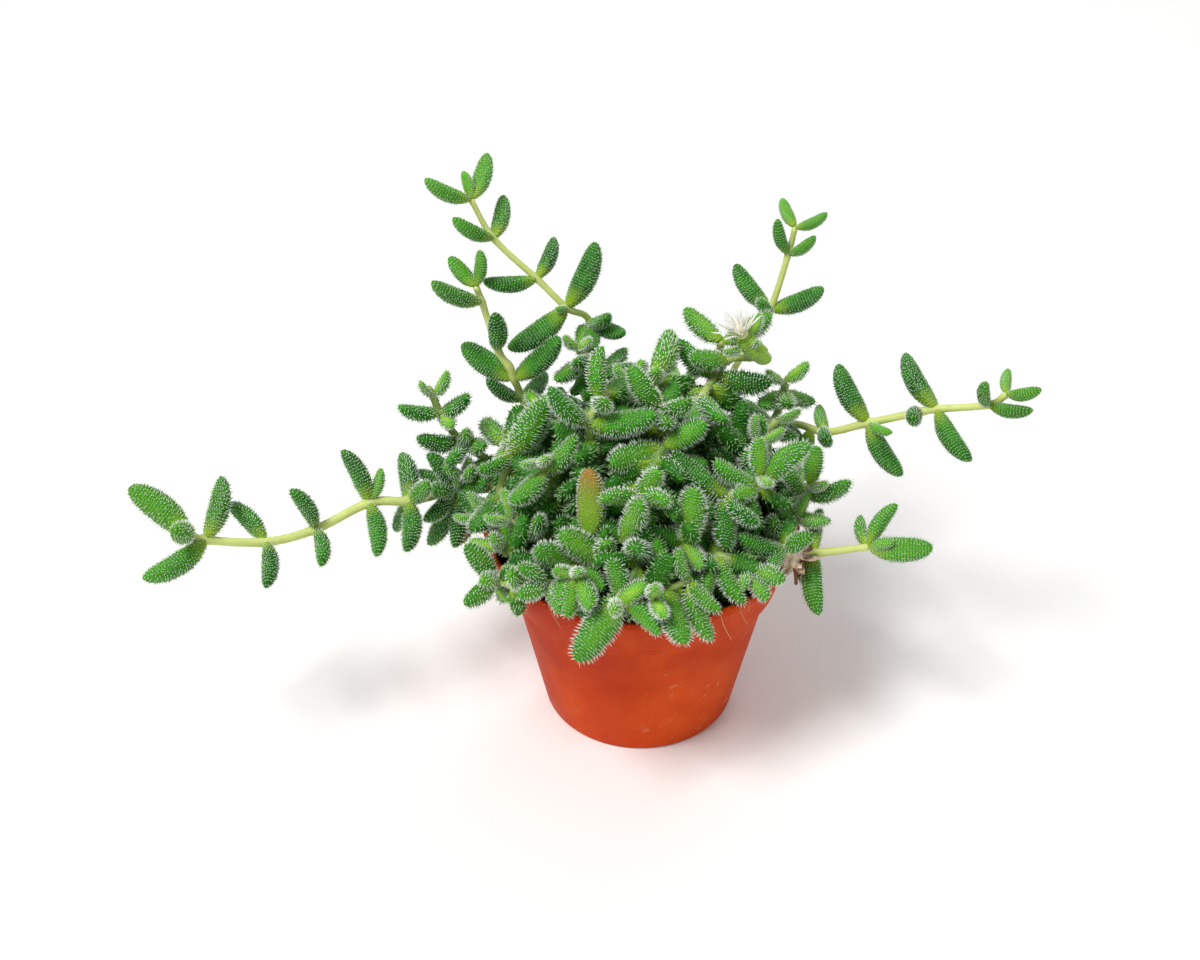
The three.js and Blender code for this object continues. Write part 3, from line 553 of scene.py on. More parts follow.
def grown(root, lean):
    """The points of a stem that grows from root, leaning outwards more and more."""
    heading = math.atan2(root[1], root[0]) + math.radians(row.draw(-FILL_VEER, FILL_VEER))
    outwards = np.array([math.cos(heading), math.sin(heading), 0])
    points = [root - UP * ROOT_DEPTH, root + UP * STEM_UPRIGHT]
    for k in range(1, FILL_JOINTS + 1):
        tilt = math.radians(lean * min(1, FILL_LEAN_FIRST + FILL_LEAN_GAIN * k))
        step = UP * math.cos(tilt) + outwards * math.sin(tilt)
        point = points[-1] + step * STEM_STEP * row.draw(*FILL_STEP)
        spread = math.hypot(point[0], point[1]) / FILL_SPREAD
        if math.hypot(spread, (point[2] - POT_HEIGHT) / FILL_RISE) > 1:
            break
        points.append(point)
    return points


def leaf_pairs(stem):
    """Adds the leaf pairs of a stem that fills the tuft, each a quarter turn from the one before."""
    points = stem["points"]
    turn = row.draw(0, 180)
    top = len(points) - 1
    for k in range(top, max(2, top + 1 - len(FILL_PAIRS)) - 1, -1):
        opening, length = FILL_PAIRS[len(FILL_PAIRS) - 1 - (top - k)]
        along = way_at(points, k)
        side = square_to(along, SIDEWAYS)
        side = turned(side, along, turn + 90 * k + row.draw(-FILL_TWIST, FILL_TWIST))
        for way in (1, -1):
            angle = math.radians(opening + row.draw(-FILL_OPENING_STRAY, FILL_OPENING_STRAY))
            arm = along * math.cos(angle) + side * way * math.sin(angle)
            arm = arm * length * row.draw(*FILL_LONG)
            add_leaf(stem, k, points[k], points[k] + arm, along)


def grow_fill():
    """Fills the tuft: roots spiral in from the edge of the soil, a golden angle apart."""
    for i in range(FILL_TRIES):
        r = ROOT_FIELD_R * math.sqrt(1 - i / FILL_TRIES)
        root = np.array([r * math.cos(i * GOLDEN_ANGLE), r * math.sin(i * GOLDEN_ANGLE), SOIL_TOP])
        if any(np.linalg.norm(s["root"] - root) < FILL_SPACING for s in stems):
            continue
        lean = FILL_LEAN * r / ROOT_FIELD_R + row.draw(-FILL_LEAN_STRAY, FILL_LEAN_STRAY)
        points = grown(root, lean)
        if len(points) < FILL_LEAST:
            continue
        if not taken.is_clear(stem_spheres(np.array(points), len(stems)), CLEAR):
            continue
        name = f"tuft_shoot_{len(stems) + 1 - len(TRACED)}"
        leaf_pairs(new_stem(name, root, points, 2))


# Leaves beside those of TRACED, by stem: (joint, pixel x, pixel y, side, millimetres)
ADDED = {
    "low_left_shoot": [(0, 521, 590, 1, 12), (1, 508, 572, 1, 11), (2, 474, 590, 1, 11)],
    "left_trailer": [
        (0, 434, 472, 1, 14),
        (0, 418, 452, -1, 15),
        (0, 424, 520, 1, 14),
        (0, 444, 560, -1, 18),
        (0, 486, 481, 1, 14),
        (0, 476, 506, 1, 13),
        (0, 440, 476, 1, 11),
        (1, 394, 530, -1, 13),
        (1, 428, 484, 1, 12),
        (2, 352, 476, -1, 11),
    ],
    "middle_shoot": [(1, 668, 480, 1, 13), (0, 648, 478, 1, 12)],
    "front_low_right_shoot": [(0, 744, 603, 1, 15), (1, 768, 600, 1, 11), (0, 715, 600, 1, 12)],
    "front_right_shoot": [(0, 655, 622, 1, 14), (1, 722, 612, 1, 13)],
    "front_left_shoot": [(0, 548, 600, 1, 14), (1, 570, 618, 1, 12)],
    "left_face_shoot": [(2, 483, 420, -1, 13), (1, 530, 430, -1, 13)],
    "upper_left_shoot": [(0, 545, 372, -1, 14), (0, 545, 412, 1, 14)],
    "back_crown_shoot": [(0, 563, 368, -1, 13), (0, 625, 348, -1, 13), (1, 555, 380, 1, 12)],
    "left_tuft_shoot": [
        (0, 448, 462, 1, 13),
        (0, 478, 440, 1, 13),
        (1, 452, 423, 1, 7),
        (0, 440, 452, 1, 12),
    ],
    "left_low_face_shoot": [
        (0, 440, 500, 1, 13),
        (1, 492, 462, -1, 13),
        (1, 436, 460, 1, 13),
        (1, 472, 464, 1, 8),
        (1, 498, 452, 1, 9),
    ],
    "right_side_shoot": [(1, 790, 520, 1, 13), (0, 825, 520, 1, 12)],
    "right_middle_shoot": [(0, 752, 528, 1, 14), (1, 735, 505, 1, 12)],
    "lower_right_shoot": [(0, 770, 575, 1, 12), (2, 902, 547, 1, 9)],
    "flower_shoot": [(0, 725, 420, 1, 15), (0, 700, 425, 1, 13)],
    "top_shoot": [(0, 690, 400, 1, 14)],
    "right_crown_shoot": [(0, 745, 400, -1, 14), (1, 765, 408, 1, 12)],
    "tall_left_shoot": [
        (0, 575, 345, -1, 12),
        (0, 608, 316, 1, 13),
        (0, 592, 350, 1, 12),
        (1, 556, 308, 1, 6),
    ],
}

# The inner leaves, which close the tuft between the main pairs
INNER_STEP = 0.0038  # along the stem, from one pair to the next
INNER_START = 0.003  # from the soil
INNER_END = 0.001  # from the end of the stem
INNER_STATIONS = 240
INNER_OPENING = (40, 85)  # degrees
INNER_LENGTH = (0.011, 0.0175)
INNER_SIDEWAYS = np.array([1, 0.3, 0.1])
INNER_SPREAD = 0.0495  # the half axes of the round space that holds their tips
INNER_RISE = 0.0405
INNER = -1  # stands for the joint of a leaf that grows between joints
PRESS = 0.0011  # how far an inner or added leaf may press on another


def inner_depth(at):
    """How far out points are in the space of the inner leaves: 0 at its middle and 1 at its edge."""
    spread = np.hypot(at[..., 0], at[..., 1]) / INNER_SPREAD
    return np.hypot(spread, (at[..., 2] - POT_HEIGHT) / INNER_RISE)


def grow_added():
    """Adds the leaves that close the tuft beside the traced ones, and may press on them."""
    for name, leaves in ADDED.items():
        stem = stem_named(name)
        points = stem["points"]
        for joint, px, py, side, long in leaves:
            at = stem["first"] + joint
            tip = tip_seen(points[at], px, py, side, long * MM)
            add_leaf(stem, at, points[at], tip, way_at(points, at), -PRESS)


def grow_inner():
    """Adds leaf pairs along each stem where it runs inside the tuft's round surface."""
    draws = np.random.default_rng(5)
    for stem in stems:
        path, slopes = stem_curve(stem["points"], np.linspace(0, 1, INNER_STATIONS))
        way = np.concatenate([[0], np.cumsum(np.linalg.norm(np.diff(path, axis=0), axis=1))])
        turn = draws.uniform(0, 180)
        places = np.arange(ROOT_DEPTH + INNER_START, way[-1] - INNER_END, INNER_STEP)
        for k, place in enumerate(places):
            base = np.array([np.interp(place, way, path[:, i]) for i in range(3)])
            along = unit(np.array([np.interp(place, way, slopes[:, i]) for i in range(3)]))
            side = turned(square_to(along, INNER_SIDEWAYS), along, turn + 90 * k)
            for facing in (1, -1):
                opening = math.radians(draws.uniform(*INNER_OPENING))
                arm = along * math.cos(opening) + side * facing * math.sin(opening)
                tip = base + arm * draws.uniform(*INNER_LENGTH)
                if inner_depth(tip) < 1:
                    add_leaf(stem, INNER, base, tip, along, -PRESS)


grow_traced()
grow_fill()
grow_added()
grow_inner()


# Meshes are gathered as parts: points, faces, one material's number and the points' attributes
ATTRIBUTES = ("age", "tone", "reach", "blush", "ridge", "row")


def part(points, faces, material, **attributes):
    """A part of a mesh. faces is a list of index arrays, one for each count of corners."""
    count = len(points)
    shares = {key: np.broadcast_to(attributes.get(key, 0), count) for key in ATTRIBUTES}
    return {"points": points, "faces": faces, "material": material, **shares}


def add_piece(name, parts, materials, replaces=(), smooth=True):
    """Joins parts into one mesh object in the frame, and says what it rides on and replaces."""
    points = np.concatenate([p["points"] for p in parts])
    corners, totals, numbers = [], [], []
    first = 0
    for p in parts:
        for faces in p["faces"]:
            corners.append((faces + first).ravel())
            totals.append(np.full(len(faces), faces.shape[1]))
            numbers.append(np.full(len(faces), p["material"]))
        first += len(p["points"])
    corners, totals, numbers = (np.concatenate(a).astype(np.int32) for a in (corners, totals, numbers))
    mesh = bpy.data.meshes.new(name)
    mesh.vertices.add(len(points))
    mesh.vertices.foreach_set("co", points.astype(np.float32).ravel())
    mesh.loops.add(len(corners))
    mesh.loops.foreach_set("vertex_index", corners)
    mesh.polygons.add(len(totals))
    mesh.polygons.foreach_set("loop_start", (np.cumsum(totals) - totals).astype(np.int32))
    mesh.polygons.foreach_set("material_index", numbers)
    mesh.polygons.foreach_set("use_smooth", np.full(len(totals), smooth))
    for key in ATTRIBUTES:
        values = np.concatenate([p[key] for p in parts]).astype(np.float32)
        mesh.attributes.new(key, "FLOAT", "POINT").data.foreach_set("value", values)
    mesh.update(calc_edges=True)
    mesh.validate()
    for material in materials:
        mesh.materials.append(material)
    piece = bpy.data.objects.new(name, mesh)
    bpy.context.scene.collection.objects.link(piece)
    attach(piece, BODY)
    if replaces:
        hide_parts(*replaces)
    return piece


def ring_faces(rings, sides):
    """The quads between rings of points that go round a surface, facing out."""
    i, j = np.meshgrid(np.arange(rings - 1), np.arange(sides), indexing="ij")
    i, j = i.ravel(), j.ravel()
    k = (j + 1) % sides
    return np.stack([i * sides + j, i * sides + k, (i + 1) * sides + k, (i + 1) * sides + j], axis=1)


def fan_faces(ring, sides, pole, last):
    """The triangles that close a ring of points at a pole, before the first ring or after the last."""
    j = np.arange(sides)
    a, b = ring * sides + j, ring * sides + (j + 1) % sides
    return np.stack([a, b, np.full(sides, pole)] if last else [b, a, np.full(sides, pole)], axis=1)


def closed_faces(rings, sides):
    """Quads and triangles of a closed surface of rings, whose two poles are its last two points."""
    count = rings * sides
    fans = [fan_faces(0, sides, count, False), fan_faces(rings - 1, sides, count + 1, True)]
    return [ring_faces(rings, sides), np.concatenate(fans)]


def repeated(faces, copies, step):
    """Faces of several copies of a mesh whose points follow each other."""
    offsets = (np.arange(copies) * step)[:, None, None]
    return [(f[None] + offsets).reshape(-1, f.shape[1]) for f in faces]


def outline(u):
    """A leaf's radius as a share of its greatest, at a share u of its length.

    A rising quarter sine from a narrow foot, and then a blunt quarter of a superellipse.
    """
    near = np.clip(u / LEAF_BROADEST, 0, 1) ** LEAF_RISE
    low = LEAF_FOOT + (1 - LEAF_FOOT) * np.sin(np.pi / 2 * near)
    far = np.clip((u - LEAF_BROADEST) / (1 - LEAF_BROADEST), 0, 1)
    return np.where(u < LEAF_BROADEST, low, np.sqrt(1 - far**LEAF_BLUNT))


def leaf_frames(leaves):
    """The leaves' measures as arrays: base, length, and the directions along, across and up."""
    base = np.array([leaf["base"] for leaf in leaves])
    tip = np.array([leaf["tip"] for leaf in leaves])
    face = np.array([leaf["face"] for leaf in leaves])
    length = np.array([leaf["length"] for leaf in leaves])
    axis = (tip - base) / length[:, None]
    return {"base": base, "length": length, "axis": axis, "across": np.cross(face, axis), "face": face}


def leaf_points(leaves, u, v):
    """Points of each leaf's surface, as (leaf, point, xyz).

    u is the share of the leaf's length and v the angle round it. The section is an ellipse whose
    upper half is flattened, and the middle line bows away from the stem as half a sine.
    """
    length = leaves["length"][:, None, None]
    r = outline(u)[None, :, None]
    wide = np.cos(v)[None, :, None] * LEAF_WIDE * length * r
    rise = np.sin(v)[None, :, None]
    thick = rise * np.where(rise > 0, LEAF_FLAT, 1) * LEAF_THICK * length * r
    bow = -LEAF_BOW * length * np.sin(np.pi * u)[None, :, None]
    along = LEAF_START + u[None, :, None] * (length - LEAF_START)
    axis, across, face = (leaves[key][:, None] for key in ("axis", "across", "face"))
    return leaves["base"][:, None] + axis * along + across * wide + face * (thick + bow)


LEAF_RINGS = 12
LEAF_SIDES = 14

# The shoots that reach out of the tuft: their stems' girth beside that of the solid, the length of
# their bristles beside those of the tuft, and how much lighter green their leaves may be
REACHING = {
    "left_trailer": (1.06, 0.68, 0.6),
    "tall_left_shoot": (0.78, 0.5, 0.5),
    "upper_left_shoot": (0.86, 0.54, 0.5),
    "right_trailer": (0.92, 0.46, 0.4),
    "tall_right_shoot": (0.8, 0.5, 0.5),
    "lower_right_shoot": (1.0, 0.6, 0.5),
}
IN_TUFT = (0.9, 1, 1)

# The coat of leaves in the tuft and out of it. face is the length of the bristles on a leaf's faces
# beside those at its edges. gaps, young and pale are the shares missing at the edges and on a young
# leaf's upper face, and how pale a leaf's ridge is, which is partly its own pale midline and partly
# painted highlight. A pair is a start and what is added to it: to glint with age, and to thick
# towards the edges.
TUFT_COAT = dict(face=0.72, gaps=0.3, young=0.4, pale=1, glint=(1, 0), thick=(0.75, 0.42))
REACHING_COAT = dict(face=0.88, gaps=0, young=0.1, pale=0.4, glint=(0.65, 0.2), thick=(1.1, 0))

BRISTLE_ROW = 0.00085  # from one row of bristles across a leaf to the next
BRISTLE_STEP = 0.00084  # how far apart they stand in a row
BRISTLE_LENGTH = 0.00155
BRISTLE_R = 0.0002
BRISTLE_SINK = 0.0002
BRISTLE_LEAN = 0.55  # towards the tip
BRISTLE_COMB = 1.25  # away from the midrib
BRISTLE_GLINT = (0.15, 0.75)  # how white those on a leaf's faces are
BRISTLE_UNEVEN = (0.85, 1.1)
BRISTLE_STRAY = 0.05
LEAN_LOSS = 0.6  # how much less those at the tip lean
UNDERSIDE = 0.8  # how much a bristle underneath is like one at the edge
SMALL_TO_BIG = (0.55, 1.1)  # leaf lengths beside LEAF_LENGTH between which bristles grow longer
SLOPE_STEP = 0.012
ROW_STRAY = 0.0075  # how far one stands off its row, as a share of the leaf's length
STEP_STRAY = 0.07  # and off its place in the row, as an angle
FEWEST_ROWS = 4
FIRST_ROW = 0.8  # in rows from the foot
ROW_SPARE = 0.2  # a leaf's length, counted in rows, less the number of its rows
ROOM = (0.03, 0.985)  # the stretch of a leaf that bristles may stand on
SMALL_LEAF = 0.0118  # on a leaf shorter than this they stand closer
CLOSEST = 0.68
WOOLLY_CLOSE = 0.66  # how close they stand on a woolly leaf
WOOLLY_THICK = 0.85
YOUNG = 0.0102  # the length under which a leaf is young
YOUNG_FACE = 0.5  # the sine of the angle round a young leaf from which its upper face is bare
MIDRIB = 0.85  # the sine from which the midrib is barer
MIDRIB_BARE = 0.15
INNER_BRISTLES = 0.45  # the share of its bristles that an inner leaf keeps
# Painted shade: the bristles of an inner leaf, deep in the tuft, keep only this share of their whiteness
INNER_WHITE = 0.25
BLUSHED_SHORTER = 0.55


def closeness(length, woolly):
    """How far apart the bristles of a leaf stand beside those of a full-grown leaf."""
    return WOOLLY_CLOSE if woolly else max(CLOSEST, min(1, length / SMALL_LEAF))


def bristle_rows(length, woolly):
    """How many rows of bristles a leaf has."""
    return max(FEWEST_ROWS, round(length / BRISTLE_ROW / closeness(length, woolly)))


def leaf_parts(leaves, woolly, looks, pale, material):
    """The smooth bodies of leaves: a grid of rings, closed by a pole at the foot and at the tip.

    looks has one value of each attribute for a leaf. The attribute row is a whole number where a
    row of bristles stands, and ridge is palest on the middle of both faces, where the leaf's own pale
    midline carries painted highlight.
    """
    ring_u = (1 - np.cos(np.pi * (np.arange(LEAF_RINGS) + 0.6) / LEAF_RINGS)) / 2
    ring_v = 2 * np.pi * np.arange(LEAF_SIDES) / LEAF_SIDES
    u = np.append(np.repeat(ring_u, LEAF_SIDES), [0, 1])
    v = np.append(np.tile(ring_v, LEAF_RINGS), [0, 0])
    points = leaf_points(leaves, u, v)
    middle = leaf_points(leaves, np.array([0.0, 0.0]), np.array([0, np.pi])).mean(axis=1)
    points[:, -2] = middle
    count = len(u)
    faces = repeated(closed_faces(LEAF_RINGS, LEAF_SIDES), len(points), count)
    rows = np.array([bristle_rows(*leaf) for leaf in zip(leaves["length"], woolly)])
    shares = {key: np.repeat(value, count) for key, value in looks.items()}
    shares["row"] = ((rows[:, None] + ROW_SPARE) * u - FIRST_ROW).ravel()
    shares["reach"] = np.tile(u, len(points))
    # Painted highlight on the leaf's own paler midline: ridge is palest on the middle of both faces
    shares["ridge"] = pale * np.tile(np.abs(np.sin(v)) ** 3 * np.sin(np.pi * u), len(points))
    return part(points.reshape(-1, 3), faces, material, **shares)


def bristle_lattice(length, woolly):
    """Where bristles stand on a leaf: rows across it, each row set off half a step from the last."""
    rows = bristle_rows(length, woolly)
    close = closeness(length, woolly)
    u, v = [], []
    for k in range(rows):
        share = (k + FIRST_ROW) / (rows + ROW_SPARE)
        girth = math.pi * (LEAF_WIDE + LEAF_THICK) * length * float(outline(np.array(share)))
        around = max(3, round(girth / BRISTLE_STEP / close))
        u.append(np.full(around, share))
        v.append(2 * np.pi * (np.arange(around) + 0.5 * (k % 2)) / around)
    u, v = np.concatenate(u), np.concatenate(v)
    u = np.clip(u + rng.normal(0, ROW_STRAY, len(u)), *ROOM)
    return u, v + rng.normal(0, STEP_STRAY, len(v))


def needles(foot, way, length, radius, material, **attributes):
    """Three-sided needles from foot along way: a small triangle at the foot, drawn to a point."""
    side = unit(np.cross(way, rng.normal(size=way.shape)))
    other = np.cross(way, side)
    angle = 2 * np.pi * np.arange(3) / 3
    ring = np.cos(angle)[:, None] * side[:, None] + np.sin(angle)[:, None] * other[:, None]
    low = foot[:, None] + ring * np.asarray(radius).reshape(-1, 1, 1)
    tip = foot + way * length[:, None]
    points = np.concatenate([low, tip[:, None]], axis=1).reshape(-1, 3)
    faces = np.array([[0, 1, 3], [1, 2, 3], [2, 0, 3], [0, 2, 1]])
    shares = {key: np.repeat(value, 4) for key, value in attributes.items()}
    shares["reach"] = np.tile([0, 0, 0, 1], len(foot))
    return part(points, repeated([faces], len(foot), 4), material, **shares)


def leaf_normals(leaf, u, v):
    """The directions out of a leaf's surface: the cross product of its slopes along u and v."""
    du = leaf_points(leaf, u + SLOPE_STEP, v)[0] - leaf_points(leaf, u - SLOPE_STEP, v)[0]
    dv = leaf_points(leaf, u, v + SLOPE_STEP)[0] - leaf_points(leaf, u, v - SLOPE_STEP)[0]
    return unit(np.cross(dv, du))


def bare_share(v, young, inner, coat):
    """The share of its bristles that a leaf lacks at angles v round it.

    Some are missing on the midrib, and at the edges by the fourth power of the cosine.
    """
    upper = np.sin(v)
    bare = MIDRIB_BARE * (upper > MIDRIB) + coat["gaps"] * np.cos(v) ** 4
    if young:
        bare = coat["young"] * (upper > YOUNG_FACE)
    return np.maximum(bare, 1 - INNER_BRISTLES) if inner else bare


def bristle_part(leaves, inner, woolly, looks, shag, coat, material):
    """The bristles of leaves, combed away from the midrib and towards the tip.

    The more a bristle stands on a face, and not on an edge, the more it is combed over. Those at
    the edges and underneath are the longest and the whitest.
    """
    feet, ways, lengths, owners, edges = [], [], [], [], []
    for i, leaf_length in enumerate(leaves["length"]):
        u, v = bristle_lattice(leaf_length, woolly[i])
        young = leaf_length < YOUNG and not woolly[i]
        kept = rng.uniform(size=len(u)) > bare_share(v, young, inner[i], coat)
        u, v = u[kept], v[kept]
        upper = np.sin(v)
        one = {key: value[i : i + 1] for key, value in leaves.items()}
        normal = leaf_normals(one, u, v)
        lean = BRISTLE_LEAN * (1 - u * LEAN_LOSS)
        comb = BRISTLE_COMB * np.abs(upper) * np.sign(np.cos(v)) * np.abs(np.cos(v)) ** 0.3
        way = normal + lean[:, None] * one["axis"] + comb[:, None] * one["across"]
        way = unit(way + rng.normal(0, BRISTLE_STRAY, normal.shape))
        small = np.clip(leaf_length / LEAF_LENGTH, *SMALL_TO_BIG) ** 0.5
        small = small * shag * (1 - BLUSHED_SHORTER * looks["blush"][i])
        edge = np.clip(np.cos(v) ** 4 + UNDERSIDE * np.clip(-upper, 0, 1), 0, 1)
        long = BRISTLE_LENGTH * small * rng.uniform(*BRISTLE_UNEVEN, len(u))
        feet.append(leaf_points(one, u, v)[0] - BRISTLE_SINK * way)
        ways.append(way)
        lengths.append(long * (coat["face"] + (1 - coat["face"]) * edge) + BRISTLE_SINK)
        owners.append(np.full(len(u), i))
        edges.append(np.maximum(edge, woolly[i]))
    feet, ways, lengths, owners, edges = (np.concatenate(a) for a in (feet, ways, lengths, owners, edges))
    own = {key: value[owners] for key, value in looks.items()}
    glint, glint_with_age = coat["glint"]
    glint = glint * rng.uniform(*BRISTLE_GLINT, len(edges)) + glint_with_age * own["age"]
    # Whiteness of each bristle, held low on inner leaves as painted shade
    own["ridge"] = (glint + (1 - glint) * edges) * np.where(inner[owners], INNER_WHITE, 1)
    thick, thick_to_edge = coat["thick"]
    thick = BRISTLE_R * shag**0.5 * (thick + thick_to_edge * edges)
    thick = thick * np.where(woolly[owners], WOOLLY_THICK, 1)
    return needles(feet, ways, lengths, thick, material, **own)


def carried_frames(slopes):
    """Directions square to a path, carried along it without twist."""
    along = unit(slopes)
    side = [square_to(along[0], np.array([1.0, 0, 0]))]
    for direction in along[1:]:
        side.append(square_to(direction, side[-1]))
    side = np.array(side)
    return along, side, np.cross(along, side)


def tube(path, slopes, radius, sides, material, **attributes):
    """A closed tube along a path, with a radius for each of its points."""
    along, side, other = carried_frames(slopes)
    angle = 2 * np.pi * np.arange(sides) / sides
    ring = np.cos(angle)[None, :, None] * side[:, None] + np.sin(angle)[None, :, None] * other[:, None]
    radius = np.broadcast_to(radius, len(path))
    rings = path[:, None] + ring * radius[:, None, None]
    poles = [path[0] - along[0] * radius[0] * 0.3, path[-1] + along[-1] * radius[-1] * 0.5]
    points = np.concatenate([rings.reshape(-1, 3), np.array(poles)])
    shares = {}
    for key, value in attributes.items():
        value = np.broadcast_to(value, len(path))
        shares[key] = np.append(np.repeat(value, sides), [value[0], value[-1]])
    return part(points, closed_faces(len(path), sides), material, **shares)


# The numbers of a shoot's materials, in the order of make_plant
FLESH, STEM, BRISTLES, HUSK = range(4)

STEM_SIDES = 10
STEM_RINGS = 7  # between one joint and the next
KNUCKLE = 0.22  # how much a stem swells at a joint
KNUCKLE_REACH = 0.0016
STEM_SHADE = (0.95, 0.8)  # the depths in the tuft between which painted shade darkens a stem
LEAST_SHADE = 0.5  # the least painted shade on a stem that stays in the tuft
STEM_HAIRS = 5  # to a millimetre of stem
STEM_HAIR_LENGTH = (0.0006, 0.0012)
STEM_HAIR_R = 0.00013
STEM_HAIR_LEAN = 0.35


def stem_parts(stem, girth, shag):
    """A stem as a tapering tube that swells at each joint, and its short hairs.

    The swelling is a bell curve of the way to the nearest joint. The attribute ridge is painted shade,
    deeper further into the tuft.
    """
    points = stem["points"]
    count = (len(points) - 1) * STEM_RINGS
    t = np.arange(count + 1) / count
    path, slopes = stem_curve(points, t)
    joints = points[stem["first"] :]
    near = np.min(np.linalg.norm(path[:, None] - joints[None], axis=2), axis=1)
    swell = 1 + KNUCKLE * np.exp(-((near / KNUCKLE_REACH) ** 2))
    radius = girth * STEM_R * (1 - (1 - STEM_TIP_SHARE) * t**6) * swell
    age = t**2
    tone = rng.uniform()
    # Painted shade: the deeper a stem runs in the tuft, the darker green it is coloured; a stem that stays
    # in the tuft always keeps some
    shade = (STEM_SHADE[0] - inner_depth(path)) / (STEM_SHADE[0] - STEM_SHADE[1])
    shade = np.clip(shade, 0 if stem["name"] in REACHING else LEAST_SHADE, 1)
    rod = tube(path, slopes, radius, STEM_SIDES, STEM, age=age, tone=tone, reach=t, ridge=shade)
    length = np.sum(np.linalg.norm(np.diff(path, axis=0), axis=1))
    number = int(length / MM * STEM_HAIRS)
    place = rng.uniform(ROOT_DEPTH / length, 1, number)
    at, slope = stem_curve(points, place)
    along = unit(slope)
    across = unit(np.cross(along, rng.normal(size=along.shape)))
    thick = np.interp(place, t, radius)
    foot = at + across * thick[:, None] * 0.9
    way = unit(across + along * STEM_HAIR_LEAN + rng.normal(0, 0.15, across.shape))
    long = rng.uniform(*STEM_HAIR_LENGTH, number) * shag
    own = {"age": place**2, "ridge": np.ones(number)}
    hair = needles(foot, way, long, STEM_HAIR_R * shag, BRISTLES, **own)
    return [rod, hair]


YOUNGEST = 0.0098  # a leaf this long or shorter is light green all over
FULL_GROWN = 0.0128  # and one this long or longer is dark
TIP_AGE = (0.5, 0.25)  # how light leaves are at least, at a stem's last joint and the one before
TONE_POWER = 1.5
# Painted shade: an inner leaf, deep in the tuft, keeps only this share of the lightness its tone gives
INNER_TONE = 0.25


def foliage(stem, leaves):
    """A leafy shoot: its stem, its leaves and their bristles.

    The attribute age is 1 on the youngest leaves. tone is how light a leaf is by chance, held low on inner
    leaves as painted shade.
    """
    joint = np.array([leaf["joint"] for leaf in leaves])
    last = len(stem["points"]) - 1
    leaves = leaf_frames(leaves)
    count = len(joint)
    inner = joint == INNER
    girth, shag, light = REACHING.get(stem["name"], IN_TUFT)
    coat = REACHING_COAT if stem["name"] in REACHING else TUFT_COAT
    age = np.clip((FULL_GROWN - leaves["length"]) / (FULL_GROWN - YOUNGEST), 0, 1)
    age = np.maximum(age, TIP_AGE[0] * (joint == last) + TIP_AGE[1] * (joint == last - 1))
    tone = rng.uniform(0, 1, count) ** TONE_POWER * np.where(inner, INNER_TONE, light)
    looks = {"age": np.where(inner, 0, age), "tone": tone, "blush": np.zeros(count)}
    if stem["name"] == BLUSHED:
        looks["blush"][0] = 1
    woolly = np.zeros(count, bool)
    if stem["name"] == WHITE_BUD:
        woolly[np.flatnonzero(joint == last)[1]] = True
    parts = stem_parts(stem, girth, shag)
    parts.append(leaf_parts(leaves, woolly, looks, coat["pale"], FLESH))
    parts.append(bristle_part(leaves, inner, woolly, looks, shag, coat, BRISTLES))
    return parts


# Materials


class Nodes:
    """A material and the nodes of its surface."""

    def __init__(self, name):
        self.material = bpy.data.materials.new(name)
        self.material.use_nodes = True
        self.tree = self.material.node_tree
        self.shader = self.tree.nodes["Principled BSDF"]

    def add(self, kind, settings=None, **inputs):
        """Adds a node. settings are its own values, and inputs its sockets, by name or number."""
        made = self.tree.nodes.new("ShaderNode" + kind)
        for key, value in (settings or {}).items():
            setattr(made, key, value)
        for key, value in inputs.items():
            self.put(made, key.replace("_", " "), value)
        return made

    def put(self, made, key, value):
        """Links or sets a socket. A key such as n1 is a number."""
        socket = made.inputs[int(key[1:])] if key[0] == "n" and key[1:].isdigit() else made.inputs[key]
        if isinstance(value, bpy.types.NodeSocket):
            self.tree.links.new(value, socket)
        elif isinstance(value, bpy.types.Node):
            self.tree.links.new(value.outputs[0], socket)
        else:
            socket.default_value = value

    def attribute(self, name):
        return self.add("Attribute", {"attribute_name": name}).outputs["Fac"]

    def noise(self, scale, detail=3, rough=0.55, place=None):
        own = {"Scale": scale, "Detail": detail, "Roughness": rough}
        return self.add("TexNoise", None, Vector=place or self.place(), **own).outputs["Fac"]

    def place(self, stretch=(1, 1, 1)):
        """Object coordinates, stretched."""
        coordinates = self.add("TexCoord").outputs["Object"]
        return self.add("Mapping", None, Vector=coordinates, Scale=stretch).outputs[0]

    def math(self, operation, a, b=0.0, clamp=False):
        return self.add("Math", {"operation": operation, "use_clamp": clamp}, n0=a, n1=b).outputs[0]

    def spread(self, value, low, high, to_low=0.0, to_high=1.0):
        """Maps low to high onto to_low to to_high, and holds it there outside."""
        made = self.add("MapRange", {"clamp": True}, n0=value, n1=low, n2=high, n3=to_low, n4=to_high)
        return made.outputs[0]

    def mix(self, share, a, b):
        """A mix of two colours."""
        made = self.add("Mix", {"data_type": "RGBA"})
        self.put(made, "n0", share)
        self.put(made, "n6", a if not isinstance(a, tuple) else (*a, 1))
        self.put(made, "n7", b if not isinstance(b, tuple) else (*b, 1))
        return made.outputs[2]

    def bump(self, height, distance, strength=1.0, under=None):
        made = self.add("Bump", None, Height=height, Distance=distance, Strength=strength)
        if under is not None:
            self.put(made, "Normal", under)
        return made.outputs[0]

    def subsurface(self, weight, radius, scale):
        """Lets light into the surface: its share, how far each colour goes, and the scale of that."""
        self.shader.inputs["Subsurface Weight"].default_value = weight
        self.shader.inputs["Subsurface Radius"].default_value = radius
        self.shader.inputs["Subsurface Scale"].default_value = scale

    def finish(self, **inputs):
        for key, value in inputs.items():
            self.put(self.shader, key.replace("_", " "), value)
        return self.material


